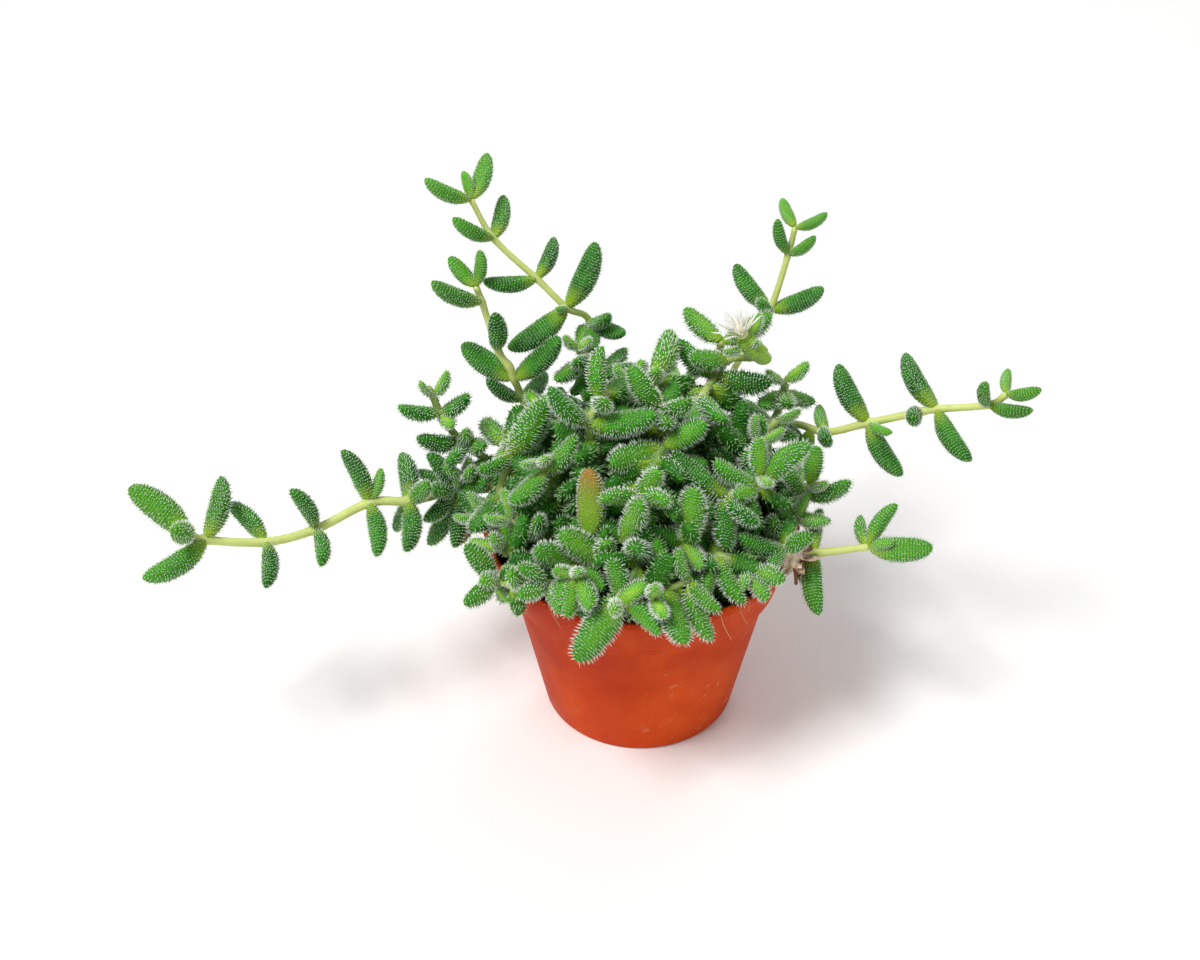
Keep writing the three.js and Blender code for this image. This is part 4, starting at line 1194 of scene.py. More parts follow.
def leaf_material():
    """Watery green flesh, with paler lines under the rows of bristles and glistening papillae.

    It is dark on an old leaf and light on a young one, and yellow-green at the foot. The middle of
    each face is paler, partly the leaf's own midline and partly painted highlight. The blushed leaf
    goes from yellow-green to an orange tip.
    """
    n = Nodes("leaf_flesh")
    tone, age, reach, blush = (n.attribute(key) for key in ("tone", "age", "reach", "blush"))
    cloud = n.spread(n.noise(140, 2), 0.3, 0.7, -0.15, 0.35)
    share = n.math("ADD", n.math("MULTIPLY", tone, 0.6), cloud, True)
    green = n.mix(share, (0.004, 0.088, 0.008), (0.055, 0.38, 0.006))
    green = n.mix(age, green, (0.090, 0.39, 0.008))
    # The middle of each face goes paler green: partly the leaf's own midline, partly painted highlight
    ridge = n.math("MULTIPLY", n.spread(n.attribute("ridge"), 0.3, 1.0), n.spread(age, 0, 1, 0.25, 0.9))
    green = n.mix(ridge, green, n.mix(age, (0.12, 0.42, 0.02), (0.36, 0.64, 0.04)))
    off_row = n.math("PINGPONG", n.attribute("row"), 0.5)
    uneven = n.spread(n.noise(1700, 1), 0.35, 0.65, 0.05, 0.45)
    comb = n.math("MULTIPLY", n.spread(off_row, 0.3, 0.08), uneven)
    green = n.mix(comb, green, n.mix(age, (0.24, 0.54, 0.06), (0.50, 0.76, 0.20)))
    foot = n.spread(reach, 0.34, 0.0, 0, 0.9)
    green = n.mix(foot, green, (0.34, 0.50, 0.02))
    yellow = n.mix(n.spread(reach, 0.1, 0.6), (0.20, 0.44, 0.02), (0.19, 0.31, 0.02))
    yellow = n.mix(n.spread(reach, 0.62, 1.0), yellow, (0.34, 0.15, 0.025))
    yellow = n.mix(n.math("MULTIPLY", comb, 0.4), yellow, (0.55, 0.42, 0.08))
    green = n.mix(blush, green, yellow)
    cells = n.add("TexVoronoi", {"feature": "F1"}, Vector=n.place(), Scale=1250.0, Randomness=0.7)
    dome = n.spread(cells.outputs["Distance"], 0.0, 0.55, 1, 0)
    speck = n.spread(cells.outputs["Distance"], 0.22, 0.05, 0, 0.35)
    green = n.mix(speck, green, (0.2, 0.45, 0.12))
    normal = n.bump(dome, 0.00022, 0.8)
    rough = n.spread(dome, 0, 1, 0.52, 0.34)
    n.subsurface(0.18, (0.5, 1.0, 0.25), 0.0018)
    n.shader.inputs["IOR"].default_value = 1.4
    n.shader.inputs["Specular IOR Level"].default_value = 0.3
    return n.finish(Base_Color=green, Roughness=rough, Normal=normal)


def stem_material():
    """A pale yellow-green stem that turns straw-brown near the soil, with painted shade that darkens it
    inside the tuft.
    """
    n = Nodes("stem_skin")
    age, tone = n.attribute("age"), n.attribute("tone")
    streak = n.noise(300, 3)
    old = n.mix(streak, (0.16, 0.075, 0.025), (0.30, 0.24, 0.07))
    young = n.mix(streak, (0.54, 0.64, 0.14), (0.74, 0.82, 0.32))
    colour = n.mix(n.spread(age, 0.005, 0.08), old, young)
    colour = n.mix(n.math("MULTIPLY", tone, 0.15), colour, (0.42, 0.36, 0.1))
    # Painted shade: dark green where the stem runs deep in the tuft, carried by ridge
    colour = n.mix(n.math("MULTIPLY", n.attribute("ridge"), 0.85), colour, (0.10, 0.26, 0.03))
    normal = n.bump(n.noise(1500, 2), 0.0001, 0.6)
    n.subsurface(0.15, (1.0, 0.9, 0.3), 0.001)
    return n.finish(Base_Color=colour, Roughness=0.5, Normal=normal)


def bristle_material():
    """Bristles: green at the foot, and from there on light green to glassy white, by ridge, which painted
    shade holds low on inner leaves.
    """
    n = Nodes("bristle_white")
    reach, age, blush = (n.attribute(key) for key in ("reach", "age", "blush"))
    foot = n.mix(age, (0.08, 0.36, 0.03), (0.28, 0.56, 0.06))
    foot = n.mix(blush, foot, (0.30, 0.36, 0.06))
    tip = n.mix(age, (0.36, 0.74, 0.20), (0.52, 0.84, 0.26))
    tip = n.mix(blush, tip, (0.62, 0.50, 0.16))
    tip = n.mix(n.attribute("ridge"), tip, (0.92, 1.0, 0.90))
    colour = n.mix(n.spread(reach, 0.0, 0.75), foot, tip)
    n.subsurface(0.8, (1.0, 1.0, 1.0), 0.0005)
    return n.finish(Base_Color=colour, Roughness=0.3)


def pot_material():
    """Terracotta-coloured moulded plastic: blotchy, faded, scuffed and smudged."""
    n = Nodes("pot_plastic")
    blotch = n.noise(19, 5, 0.6)
    colour = n.mix(n.spread(blotch, 0.32, 0.68), (0.42, 0.020, 0.0005), (0.72, 0.078, 0.003))
    fade = n.spread(n.noise(70, 6, 0.7), 0.52, 0.8, 0, 0.3)
    colour = n.mix(fade, colour, (0.74, 0.15, 0.03))
    grain = n.noise(2200, 2)
    colour = n.mix(n.spread(grain, 0.35, 0.65, 0, 0.06), colour, (0.60, 0.18, 0.08))
    scuff = n.noise(9, 6, 0.75, n.place((4, 4, 60)))
    scratch = n.spread(scuff, 0.62, 0.68, 0, 0.25)
    colour = n.mix(scratch, colour, (0.60, 0.20, 0.10))
    where = n.spread(n.noise(26, 3), 0.5, 0.64, 0, 0.5)
    smudge = n.math("MULTIPLY", n.spread(n.noise(380, 3), 0.6, 0.72), where)
    colour = n.mix(smudge, colour, (0.80, 0.36, 0.22))
    rough = n.spread(n.noise(60, 4), 0.3, 0.7, 0.42, 0.6)
    normal = n.bump(grain, 0.00004, 0.5)
    normal = n.bump(n.noise(45, 3), 0.0004, 0.25, normal)
    n.shader.inputs["Specular IOR Level"].default_value = 0.06
    return n.finish(Base_Color=colour, Roughness=rough, Normal=normal)


def soil_material():
    """Damp brown peat, and where tone is high, bark."""
    n = Nodes("potting_soil")
    tone = n.attribute("tone")
    grain = n.noise(900, 5, 0.7)
    peat = n.mix(n.spread(grain, 0.35, 0.65), (0.018, 0.010, 0.006), (0.10, 0.055, 0.03))
    bark = n.mix(n.spread(grain, 0.35, 0.65), (0.14, 0.06, 0.03), (0.40, 0.22, 0.11))
    colour = n.mix(n.spread(tone, 0.55, 0.9), peat, bark)
    normal = n.bump(grain, 0.0005, 0.9)
    return n.finish(Base_Color=colour, Roughness=0.92, Normal=normal)


def straw_material():
    """Dry roots and straw."""
    n = Nodes("dry_fibre")
    tone = n.attribute("tone")
    colour = n.mix(tone, (0.30, 0.13, 0.05), (0.74, 0.38, 0.12))
    colour = n.mix(n.spread(n.noise(700, 3), 0.4, 0.7, 0, 0.4), colour, (0.16, 0.07, 0.03))
    return n.finish(Base_Color=colour, Roughness=0.7)


def petal_material():
    """Cream petals with a yellow-green foot."""
    n = Nodes("petal_cream")
    reach, tone = n.attribute("reach"), n.attribute("tone")
    colour = n.mix(n.spread(reach, 0.0, 0.5), (0.96, 0.92, 0.34), (1.0, 0.98, 0.90))
    colour = n.mix(n.math("MULTIPLY", tone, 0.12), colour, (1.0, 0.93, 0.6))
    n.subsurface(0.6, (1.0, 0.9, 0.5), 0.001)
    return n.finish(Base_Color=colour, Roughness=0.45)


def husk_material():
    """The papery brown of a dried bloom."""
    n = Nodes("dry_husk")
    fold = n.noise(900, 4, 0.7, n.place((1, 1, 0.3)))
    pale = n.mix(n.spread(fold, 0.35, 0.55), (0.42, 0.24, 0.15), (0.96, 0.80, 0.62))
    dark = n.mix(n.spread(fold, 0.3, 0.7), (0.09, 0.03, 0.015), (0.34, 0.13, 0.08))
    colour = n.mix(n.spread(n.attribute("tone"), 0.1, 0.5), dark, pale)
    return n.finish(Base_Color=colour, Roughness=0.8, Normal=n.bump(fold, 0.0003, 0.8))


# Pot


def rounded(corners, radii, steps=5):
    """An outline whose corners are rounded: at each, a parabola that starts and ends radius away."""
    points = [corners[0]]
    for before, at, after, radius in zip(corners, corners[1:], corners[2:], radii):
        before, at, after = (np.array(p, float) for p in (before, at, after))
        start = at + unit(before - at) * radius
        end = at + unit(after - at) * radius
        for s in np.linspace(0, 1, steps):
            points.append((1 - s) ** 2 * start + 2 * s * (1 - s) * at + s**2 * end)
    points.append(corners[-1])
    return np.array(points, float)


def revolved(profile, sides, material, **attributes):
    """A profile of (radius, height) that starts and ends on the axis, turned round the axis."""
    angle = 2 * np.pi * np.arange(sides) / sides
    r, z = profile[1:-1, 0], profile[1:-1, 1]
    heights = np.broadcast_to(z[:, None], (len(r), sides))
    rings = np.stack([r[:, None] * np.cos(angle), r[:, None] * np.sin(angle), heights], axis=2)
    poles = np.array([[0, 0, profile[0, 1]], [0, 0, profile[-1, 1]]])
    points = np.concatenate([rings.reshape(-1, 3), poles])
    return part(points, closed_faces(len(r), sides), material, **attributes)


def apply_modifiers(piece):
    """Replaces a piece's mesh by what its modifiers make of it."""
    shown = piece.evaluated_get(bpy.context.evaluated_depsgraph_get())
    made = bpy.data.meshes.new_from_object(shown)
    piece.modifiers.clear()
    piece.data = made


LIP = 0.0026  # the height of the band under the rim
LIP_STEP = 0.0004  # how far it stands out
DRILL_SIDES = 32


def drill_at(angle):
    """What is cut out for one drain hole: a cylinder through the floor of the pot."""
    low, high = -POT_FLOOR, 2 * POT_FLOOR
    drill = revolved(np.array([(0, low), (DRAIN_R, low), (DRAIN_R, high), (0, high)]), DRILL_SIDES, 0)
    drill["points"] = drill["points"] + DRAIN_RING_R * np.array([math.cos(angle), math.sin(angle), 0])
    return drill


def make_pot(material):
    """The pot: a turned shell with a band round the rim, a collar and drain holes."""
    low = POT_HEIGHT - COLLAR_HEIGHT
    slope = (POT_TOP_R - COLLAR_LOW_R) / COLLAR_HEIGHT
    corners = [
        (0, 0),
        (BASE_R, 0),
        (BODY_TOP_R, low),
        (COLLAR_LOW_R, low),
        (POT_TOP_R - slope * LIP - LIP_STEP, POT_HEIGHT - LIP),
        (POT_TOP_R, POT_HEIGHT - LIP + LIP_STEP),
        (POT_TOP_R, POT_HEIGHT),
        (POT_TOP_R - WALL, POT_HEIGHT),
        (COLLAR_LOW_R - WALL, low + WALL),
        (BODY_TOP_R - WALL, low - WALL),
        (BASE_R - WALL, POT_FLOOR),
        (0, POT_FLOOR),
    ]
    radii = [0.0012, 0.0006, 0.0005, 0.0003, 0.0003, 0.0005, 0.0006, 0.001, 0.001, 0.001]
    shell = revolved(rounded(corners, radii), POT_SIDES, 0)
    pot = add_piece("pot_fine", [shell], [material], ["pot"])
    drills = [drill_at(2 * np.pi * k / DRAIN_HOLES) for k in range(DRAIN_HOLES)]
    cutter = add_piece("drills", drills, [])
    cut = pot.modifiers.new("drain_holes", "BOOLEAN")
    cut.operation = "DIFFERENCE"
    cut.object = cutter
    cut.solver = "EXACT"
    apply_modifiers(pot)
    bpy.data.objects.remove(cutter)


# Soil


def lump(x, y):
    """How far the soil's top stands over or under its mean height: a wide swell and a short one."""
    wide = np.sin(SWELL * x + 0.9) * np.cos(0.87 * SWELL * y)
    return SOIL_LUMP * (wide + 0.4 * np.sin(1.77 * SWELL * (x + y)))


def soil_radius():
    """The radius of the soil's top, a small gap inside the collar."""
    rise = (SOIL_TOP - (POT_HEIGHT - COLLAR_HEIGHT)) / COLLAR_HEIGHT
    return COLLAR_LOW_R + (POT_TOP_R - COLLAR_LOW_R) * rise - WALL - SEAT_GAP


SOIL_RINGS = 46
SOIL_SIDES = 120
SOIL_WAVES = [(900, 0.25), (1700, 0.2), (3100, 0.15)]  # radians to a metre, millimetres high
SOIL_EDGE = 0.06  # the share of its radius over which they die away
CRUMBS = 2600
CRUMB_SIZE = (0.0004, 0.002)
CRUMB_POWER = 4  # the higher, the more of them are small
FIBRES = 70
FIBRE_LENGTH = (0.004, 0.009)
FIBRE_R = 0.00018
FIBRE_SWAY = 0.18
FIBRE_DROOP = 0.05
FIBRE_ARCH = 0.12


def crumb_part(at, size, tone):
    """Crumbs: small eight-sided pebbles, each pressed and turned its own way."""
    corner = np.array([[1, 0, 0], [-1, 0, 0], [0, 1, 0], [0, -1, 0], [0, 0, 1], [0, 0, -1]], float)
    middle = unit(np.array([[x, y, z] for x in (1, -1) for y in (1, -1) for z in (1, -1)], float))
    ball = np.concatenate([corner, middle])
    faces = []
    for k, (x, y, z) in enumerate(middle):
        ends = [0 if x > 0 else 1, 2 if y > 0 else 3, 4 if z > 0 else 5]
        if x * y * z < 0:
            ends.reverse()
        faces += [[ends[i], ends[(i + 1) % 3], 6 + k] for i in range(3)]
    count = len(at)
    shape = ball[None] * rng.uniform(0.6, 1.15, (count, len(ball), 1))
    shape = shape * rng.uniform(0.45, 1.3, (count, 1, 3))
    first = unit(rng.normal(size=(count, 3)))
    second = unit(np.cross(first, rng.normal(size=(count, 3))))
    turn = np.stack([first, second, np.cross(first, second)], axis=1)
    points = np.einsum("cpi,cij->cpj", shape, turn) * size[:, None, None] + at[:, None]
    all_faces = repeated([np.array(faces)], count, len(ball))
    return part(points.reshape(-1, 3), all_faces, 0, tone=np.repeat(tone, len(ball)))


def fibre_part(start, heading, length, tone):
    """A dry fibre: a thin tube that swerves and droops as a parabola, and arches as half a sine."""
    s = np.linspace(0, 1, 9)[:, None]
    side = unit(np.cross(heading, UP))
    bend = rng.normal(0, FIBRE_SWAY)
    path = start + length * (heading * s + (side * bend - UP * FIBRE_DROOP) * s**2)
    path = path + UP * FIBRE_ARCH * length * np.sin(np.pi * s)
    radius = FIBRE_R * (1 - 0.5 * s[:, 0])
    return tube(path, np.gradient(path, axis=0), radius, 5, 1, tone=tone, reach=s[:, 0])


def scattered_crumbs(top_r):
    """Crumbs all over the soil's top, most of them small."""
    r = (top_r - 0.0012) * np.sqrt(rng.uniform(0, 1, CRUMBS))
    angle = rng.uniform(0, 2 * np.pi, CRUMBS)
    x, y = r * np.cos(angle), r * np.sin(angle)
    least, most = CRUMB_SIZE
    size = least + (most - least) * rng.uniform(0, 1, CRUMBS) ** CRUMB_POWER
    at = np.stack([x, y, SOIL_TOP + lump(x, y) + size * 0.2], axis=1)
    return crumb_part(at, size, rng.uniform(0, 1, CRUMBS))


def scattered_fibres(top_r):
    """Dry fibres that lie on the soil, each its own way."""
    fibres = []
    for _ in range(FIBRES):
        r, angle = (top_r - 0.008) * math.sqrt(rng.uniform()), rng.uniform(0, 2 * np.pi)
        turn = rng.uniform(0, 2 * np.pi)
        start = np.array([r * math.cos(angle), r * math.sin(angle), SOIL_TOP + 0.0006])
        heading = np.array([math.cos(turn), math.sin(turn), 0.06])
        fibres.append(fibre_part(start, heading, rng.uniform(*FIBRE_LENGTH), rng.uniform()))
    return fibres


def make_soil(soil, straw):
    """The soil: a closed body with a lumpy top, and crumbs and fibres that lie on it.

    The top is the swell of lump, roughened by three products of two sine waves.
    """
    low = POT_HEIGHT - COLLAR_HEIGHT
    gap = WALL + SEAT_GAP
    top_r = soil_radius()
    wall = [(0, POT_FLOOR + SEAT_GAP), (BASE_R - gap, POT_FLOOR + SEAT_GAP)]
    wall += [(BODY_TOP_R - gap, low - WALL), (COLLAR_LOW_R - gap, low + WALL)]
    share = np.linspace(1, 0, SOIL_RINGS)
    top = np.stack([top_r * share, np.full(SOIL_RINGS, SOIL_TOP)], axis=1)
    body = revolved(np.concatenate([np.array(wall), top]), SOIL_SIDES, 0, tone=0.2)
    points = body["points"]
    x, y = points[:, 0], points[:, 1]
    out = np.hypot(x, y) / top_r
    fade = np.clip((1 - out) / SOIL_EDGE, 0, 1)
    rough = np.zeros(len(points))
    for scale, height in SOIL_WAVES:
        turn = rng.uniform(0, 2 * np.pi)
        wave = np.sin(scale * (x * math.cos(turn) + y * math.sin(turn)) + 2 * np.sin(scale * 0.43 * y))
        rough += height * MM * wave * np.sin(scale * (y * math.cos(turn) - x * math.sin(turn)))
    points[:, 2] += np.where(points[:, 2] > SOIL_TOP - MM * 0.01, (lump(x, y) + rough) * fade, 0)
    litter = [scattered_crumbs(top_r), *scattered_fibres(top_r)]
    add_piece("soil_fine", [body], [soil, straw], ["soil"])
    add_piece("soil_crumbs", litter, [soil, straw], smooth=False)


# Dry roots that hang over the rim: degrees to the right of the front, how far down, how far aslant
HANGING = [(28, 0.016, 0.8), (36, 0.012, 0.9), (41, 0.005, 0.3), (-33, 0.008, 0.5), (-29, 0.004, -0.3)]
HANGING_R = 0.00024
OVER_RIM = 0.0004  # how far off the rim they run


def hanging_root(degrees, drop, aslant):
    """A dry root: a thin tube from the soil over the rim, and aslant down the outside of the collar.

    Its radius and height in the pot's section run straight between six stations.
    """
    s = np.linspace(0, 1, 22)
    stations = [
        (0, soil_radius() - 0.004, SOIL_TOP + 0.0005),
        (0.3, POT_TOP_R - WALL - OVER_RIM, POT_HEIGHT - 0.001),
        (0.42, POT_TOP_R - WALL * 0.8, POT_HEIGHT + OVER_RIM),
        (0.5, POT_TOP_R - WALL / 2, POT_HEIGHT + OVER_RIM * 1.4),
        (0.58, POT_TOP_R + OVER_RIM * 0.6, POT_HEIGHT - OVER_RIM),
        (1, POT_TOP_R + OVER_RIM - drop * 0.28, POT_HEIGHT - drop),
    ]
    at, radii, heights = np.array(stations).T
    r, z = np.interp(s, at, radii), np.interp(s, at, heights)
    turn = math.radians(degrees - 90) + aslant * np.clip(s - 0.5, 0, 1) ** 1.5 * drop * 40
    path = np.stack([r * np.cos(turn), r * np.sin(turn), z], axis=1)
    tone = 0.35 + 0.6 * rng.uniform()
    return tube(path, np.gradient(path, axis=0), HANGING_R * (1 - 0.6 * s), 6, 0, tone=tone, reach=s)


def make_hanging(material):
    add_piece("dry_roots", [hanging_root(*root) for root in HANGING], [material])


# Bloom
CALYX_OUTLINE = [(0, 0), (0.0019, 0.0003), (0.0029, 0.003), (0.0028, 0.0072), (0.0018, 0.008), (0, 0.008)]
CALYX_CORNERS = [0.0008, 0.0018, 0.001, 0.0006]  # how far each of its corners is rounded
CALYX_DROOP = 0.0042  # how far its foot hangs to the right
CALYX_BEND = 1.2  # 1 is straight, 2 hangs like a hook
CALYX_HEIGHT = 0.008
CALYX_SIDES = 20
CALYX_BRISTLES = 420
CALYX_BRISTLE_LENGTH = (0.0004, 0.0009)
CALYX_BRISTLE_WHITE = (0.4, 0.95)
SEPAL_LENGTHS = [0.0075, 0.0046, 0.0066, 0.0042]
SEPAL_FOOT = 0.7  # up the calyx, as a share of its height
SEPAL_INSET = 0.002
SEPAL_LEAN = 57  # degrees
BLOOM_EYE_R = 0.0017
BLOOM_EYE_HEIGHT = 0.0015
PETALS = 36
PETAL_LENGTH = 0.0085
PETAL_WIDTH = 0.0012
PETAL_RISE = (50, 20, 12)  # degrees: the outer whorl's, how much more the inner one's, and by chance
STAMENS = 26
STAMEN_LENGTH = (0.0018, 0.0032)
STAMEN_R = 0.00013

calyx_foot = seen(*FLOWER["foot"])
bloom_axis = unit(seen(*FLOWER["centre"]) - calyx_foot)
bloom_side = square_to(bloom_axis, RIGHTWARD)


def stood(points, foot, axis):
    """Points that stand on the origin along +Z, moved to stand on foot along axis."""
    across = unit(np.cross(UP, axis))
    side = np.cross(across, UP)
    turned_side = np.cross(across, axis)
    flat = points @ np.stack([across, side, UP], axis=1)
    return foot + flat @ np.stack([across, turned_side, axis])


def sepal_leaves():
    """The fleshy tips round the top of the calyx, which are small leaves."""
    leaves = []
    last = len(stem_named(FLOWER["stem"])["points"]) - 1
    for i, length in enumerate(SEPAL_LENGTHS):
        side = turned(bloom_side, bloom_axis, (i + 0.5) / len(SEPAL_LENGTHS) * 360)
        base = calyx_foot + bloom_axis * SEPAL_FOOT * CALYX_HEIGHT + side * SEPAL_INSET
        lean = math.radians(SEPAL_LEAN)
        arm = bloom_axis * math.cos(lean) + side * math.sin(lean)
        leaf = {"base": base, "tip": base + arm * length, "length": length}
        leaf.update(face=square_to(arm, bloom_axis), joint=last, along=bloom_axis)
        leaves.append(leaf)
    return leaves


def drooped(points):
    """Points of the calyx, drawn out to the right by a power of how low they are."""
    height = (points - calyx_foot) @ bloom_axis / CALYX_HEIGHT
    low = np.clip(1 - height, 0, 1)[:, None]
    return points + CALYX_DROOP * low**CALYX_BEND * unit(RIGHTWARD - 0.3 * UPWARD)


def calyx_parts():
    """The swollen green body under the bloom: a turned shape drawn to the right, with its bristles."""
    profile = rounded(CALYX_OUTLINE, CALYX_CORNERS, 6)
    body = revolved(profile, CALYX_SIDES, FLESH, age=1, tone=1, reach=0.5, ridge=1)
    body["row"] = body["points"][:, 2] / BRISTLE_ROW
    body["points"] = drooped(stood(body["points"], calyx_foot, bloom_axis))
    count = CALYX_BRISTLES
    height = rng.uniform(0.06, 0.95, count) * CALYX_HEIGHT
    radius = np.interp(height, profile[:, 1], profile[:, 0])
    angle = rng.uniform(0, 2 * np.pi, count)
    around = np.stack([np.cos(angle), np.sin(angle), np.zeros(count)], axis=1)
    foot = around * radius[:, None] * 0.96 + height[:, None] * UP
    way = unit(around + 0.5 * UP + rng.normal(0, 0.12, foot.shape))
    tips = drooped(stood(foot + way * 0.0005, calyx_foot, bloom_axis))
    foot = drooped(stood(foot, calyx_foot, bloom_axis))
    long = rng.uniform(*CALYX_BRISTLE_LENGTH, count)
    own = {"age": np.ones(count), "ridge": rng.uniform(*CALYX_BRISTLE_WHITE, count)}
    return [body, needles(foot, unit(tips - foot), long, BRISTLE_R * 0.9, BRISTLES, **own)]


BLADE_RINGS = 7
BLADE_SIDES = 6
BLADE_FLAT = 0.3


def blade_part(foot, heading, rise, length, width, curl, material, tone):
    """Slender petals, all at once.

    The section is a flat ellipse. The width is a power of a sine, broadest past the middle and
    drawn to a rounded tip, and the middle line curls back as a parabola.
    """
    count, rings, sides = len(heading), BLADE_RINGS, BLADE_SIDES
    u = np.linspace(0.02, 0.99, rings)
    wide = np.sin(np.pi * (0.12 + 0.88 * u) ** 1.4) ** 0.6
    angle = 2 * np.pi * np.arange(sides) / sides
    along = heading * np.cos(rise)[:, None] + UP * np.sin(rise)[:, None]
    across = np.cross(UP, heading)
    up = np.cross(along, across)
    middle = foot[:, None] + along[:, None] * (u * length[:, None])[..., None]
    middle = middle - up[:, None] * (curl[:, None] * length[:, None] * u**2)[..., None]
    half = (wide[None] * width[:, None] / 2)[..., None, None]
    ring = across[:, None, None] * np.cos(angle)[None, None, :, None]
    ring = ring + up[:, None, None] * np.sin(angle)[None, None, :, None] * BLADE_FLAT
    rings_at = middle[:, :, None] - half * ring
    points = np.concatenate([rings_at.reshape(count, -1, 3), middle[:, :1], middle[:, -1:]], axis=1)
    faces = repeated(closed_faces(rings, sides), count, points.shape[1])
    reach = np.tile(np.append(np.repeat(u, sides), [0, 1]), count)
    return part(points.reshape(-1, 3), faces, material, reach=reach, tone=np.repeat(tone, points.shape[1]))


def headings(turn):
    """Level directions at angles round the axis."""
    return np.stack([np.cos(turn), np.sin(turn), np.zeros(len(turn))], axis=1)


def petal_whorls():
    """Two whorls of petals, of which the inner one is steeper and shorter."""
    turn = 4 * np.pi * (np.arange(PETALS) + rng.uniform(-0.25, 0.25, PETALS)) / PETALS
    inner = np.arange(PETALS) % 2
    heading = headings(turn)
    outer_rise, inner_rise, stray = PETAL_RISE
    rise = np.radians(outer_rise + inner_rise * inner + rng.uniform(-stray, stray, PETALS))
    length = PETAL_LENGTH * (1 - 0.16 * inner) * rng.uniform(0.88, 1.04, PETALS)
    curl = rng.uniform(0.02, 0.2, PETALS)
    width = PETAL_WIDTH * rng.uniform(0.85, 1.15, PETALS)
    start = heading * 0.5 * BLOOM_EYE_R + UP * 0.00065
    return blade_part(start, heading, rise, length, width, curl, 0, rng.uniform(0, 1, PETALS))


def stamen_part():
    """A tuft of stamens, each leaning its own way."""
    turn = rng.uniform(0, 2 * np.pi, STAMENS)
    lean = rng.uniform(0.1, 0.75, STAMENS)
    way = unit(headings(turn) * lean[:, None] + UP)
    at = way * 0.0004 + UP * 0.001
    return needles(at, way, rng.uniform(*STAMEN_LENGTH, STAMENS), STAMEN_R, 0, tone=np.ones(STAMENS))


def make_bloom(material):
    """The bloom: two whorls of slender cream petals round a tuft of stamens."""
    foot = calyx_foot + bloom_axis * (CALYX_HEIGHT + SEAT_GAP)
    top = 0.6 * BLOOM_EYE_R
    eye = [(0, 0), (BLOOM_EYE_R, 0), (BLOOM_EYE_R, 0.0008), (top, BLOOM_EYE_HEIGHT), (0, BLOOM_EYE_HEIGHT)]
    base = revolved(rounded(eye, [0.0003, 0.0003, 0.0004]), 24, 0, reach=0.2)
    parts = [base, petal_whorls(), stamen_part()]
    for p in parts:
        p["points"] = stood(p["points"], foot, bloom_axis)
    add_piece("bloom_fine", parts, [material], ["bloom"])


HUSK_OUTLINE = [(0, 0), (0.0006, 0), (0.0009, 0.0012), (0.0033, 0.0034), (0.0027, 0.0062), (0, 0.0045)]
HUSK_CORNERS = [0.0002, 0.0005, 0.0012, 0.0008]
HUSK_FOLDS = [(6, 420, 0, 0.16), (13, 0, 2, 0.08)]  # folds round it, twist, turn and depth
HUSK_SCALE = 1.2
SCRAPS = 34
SCRAP_LENGTH = (0.0022, 0.0042)
TWIG_END = (796, 584, 10)  # the pixel of its free end
TWIG_R = 0.0007


def husk_cup():
    """A crumpled cup: a turned shape whose radius swells and sinks as the sum of two sine waves."""
    cup = revolved(rounded(HUSK_OUTLINE, HUSK_CORNERS, 7), 40, HUSK, tone=0.7)
    points = cup["points"]
    angle = np.arctan2(points[:, 1], points[:, 0])
    swell = np.ones(len(points))
    for folds, twist, turn, depth in HUSK_FOLDS:
        swell += depth * np.sin(folds * angle + twist * points[:, 2] + turn)
    points[:, :2] *= swell[:, None]
    return cup


def husk_scraps():
    """Curled scraps of dry petals in the cup's mouth."""
    heading = headings(rng.uniform(0, 2 * np.pi, SCRAPS))
    start = heading * rng.uniform(0.0008, 0.0026, (SCRAPS, 1)) + UP * 0.0042
    size = rng.uniform(*SCRAP_LENGTH, SCRAPS)
    rise = rng.uniform(-0.3, 1.3, SCRAPS)
    curl = rng.uniform(0.2, 1.1, SCRAPS)
    return blade_part(start, heading, rise, size, size * 0.4, curl, HUSK, rng.uniform(0, 1, SCRAPS))


def dry_bloom_parts():
    """A bloom that has dried on its stem: a crumpled cup, curled scraps of petals and a dead twig."""
    stem = stem_named(DRY_BLOOM["stem"])
    foot = stem["points"][stem["first"] + DRY_BLOOM["joint"]]
    axis = unit(seen(*DRY_BLOOM["at"]) - foot)
    parts = [husk_cup(), husk_scraps()]
    for p in parts:
        p["points"] = stood(p["points"] * HUSK_SCALE, foot, axis)
    s = np.linspace(0, 1, 9)[:, None]
    begin = foot + axis * 0.003
    path = begin + (seen(*TWIG_END) - begin) * s + RIGHTWARD * 0.0006 * np.sin(np.pi * s)
    twig = tube(path, np.gradient(path, axis=0), TWIG_R * (1 - 0.3 * s[:, 0]), 9, HUSK)
    return [*parts, twig]


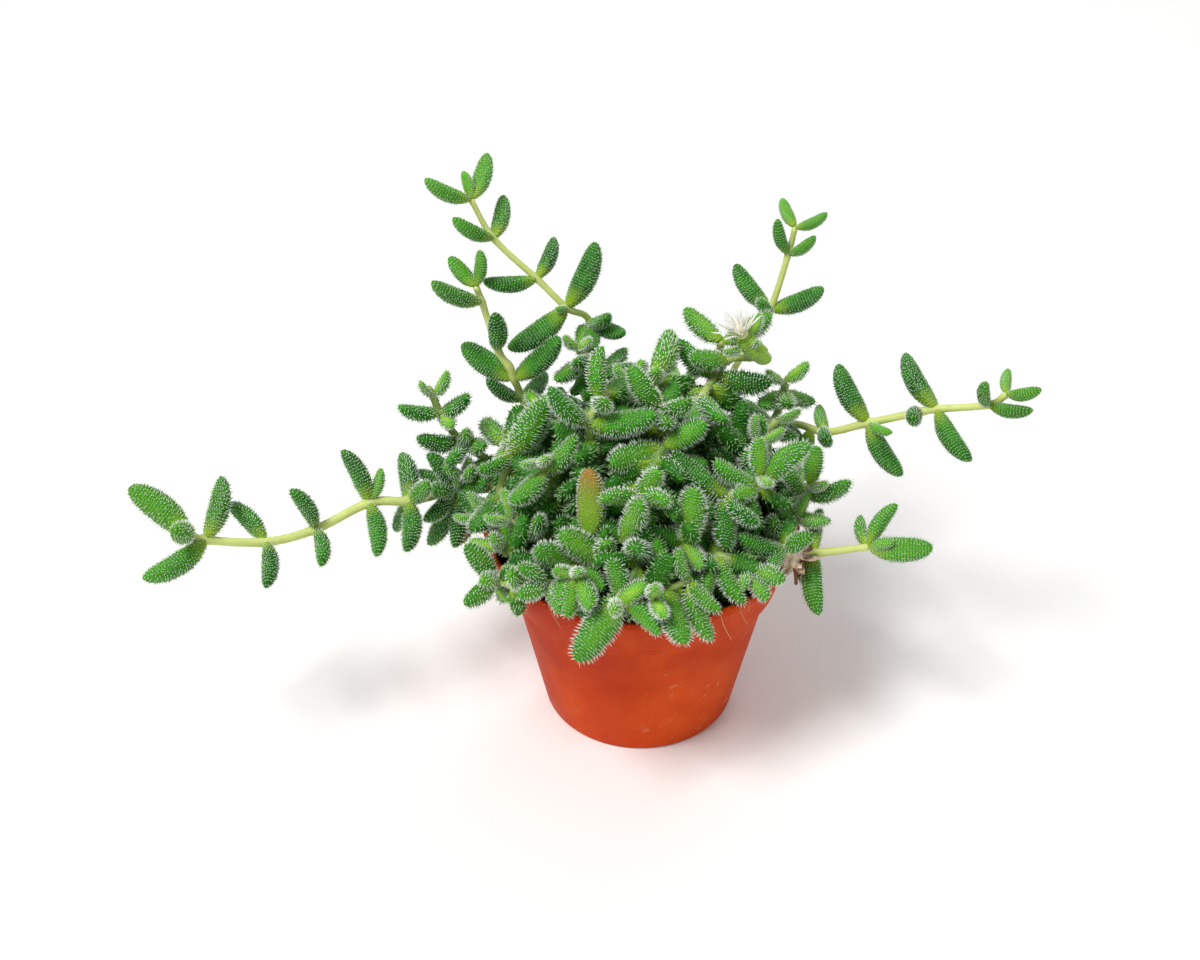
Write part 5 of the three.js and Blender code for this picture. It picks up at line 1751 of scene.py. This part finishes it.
def make_plant():
    """All the leafy shoots, each in place of its solid."""
    materials = [leaf_material(), stem_material(), bristle_material(), husk_material()]
    for stem in stems:
        name = stem["name"]
        sepals = sepal_leaves() if name == FLOWER["stem"] else []
        parts = foliage(stem, stem["leaves"] + sepals)
        if name == FLOWER["stem"]:
            parts += calyx_parts()
        if name == DRY_BLOOM["stem"]:
            parts += dry_bloom_parts()
        add_piece(name + "_fine", parts, materials, [name])


# Stage
FLOOR_HALF = 3
FLOOR_COLOUR = (0.93, 0.93, 0.93, 1)
WORLD_STRENGTH = 0.42
LIT = (0, 0, 0.07)  # what the lamps face
# Each lamp: place, size, power in watts, colour
LAMPS = {
    "key": ((-0.7, -0.6, 1.7), 0.6, 30, (1, 0.99, 0.97)),
    "back": ((0.5, 1.2, 1.3), 1.0, 7, (0.98, 0.99, 1)),
}


def make_floor():
    """A plain pale floor."""
    mesh = bpy.data.meshes.new("floor")
    corners = [(FLOOR_HALF * x, FLOOR_HALF * y, 0) for x, y in ((-1, -1), (1, -1), (1, 1), (-1, 1))]
    mesh.from_pydata(corners, [], [(0, 1, 2, 3)])
    material = Nodes("floor_pale").finish(Base_Color=FLOOR_COLOUR, Roughness=0.85)
    mesh.materials.append(material)
    floor = bpy.data.objects.new("floor", mesh)
    bpy.context.scene.collection.objects.link(floor)


def add_lamp(name, place, size, power, colour):
    """A soft square lamp that faces the plant."""
    data = bpy.data.lights.new(name, "AREA")
    data.size = size
    data.energy = power
    data.color = colour
    lamp = bpy.data.objects.new(name, data)
    bpy.context.scene.collection.objects.link(lamp)
    lamp.location = place
    lamp.rotation_euler = (Vector(LIT) - Vector(place)).to_track_quat("-Z", "Y").to_euler()


def make_lights():
    """Plain soft studio light: a pale world, a large key from the upper left and one behind."""
    world = bpy.data.worlds.new("studio")
    world.use_nodes = True
    background = world.node_tree.nodes["Background"]
    background.inputs["Color"].default_value = (1, 1, 1, 1)
    background.inputs["Strength"].default_value = WORLD_STRENGTH
    bpy.context.scene.world = world
    for name, lamp in LAMPS.items():
        add_lamp(name, *lamp)


bpy.context.scene.view_settings.view_transform = "Standard"
straw = straw_material()
make_pot(pot_material())
make_soil(soil_material(), straw)
make_hanging(straw)
make_plant()
make_bloom(petal_material())
make_floor()
make_lights()
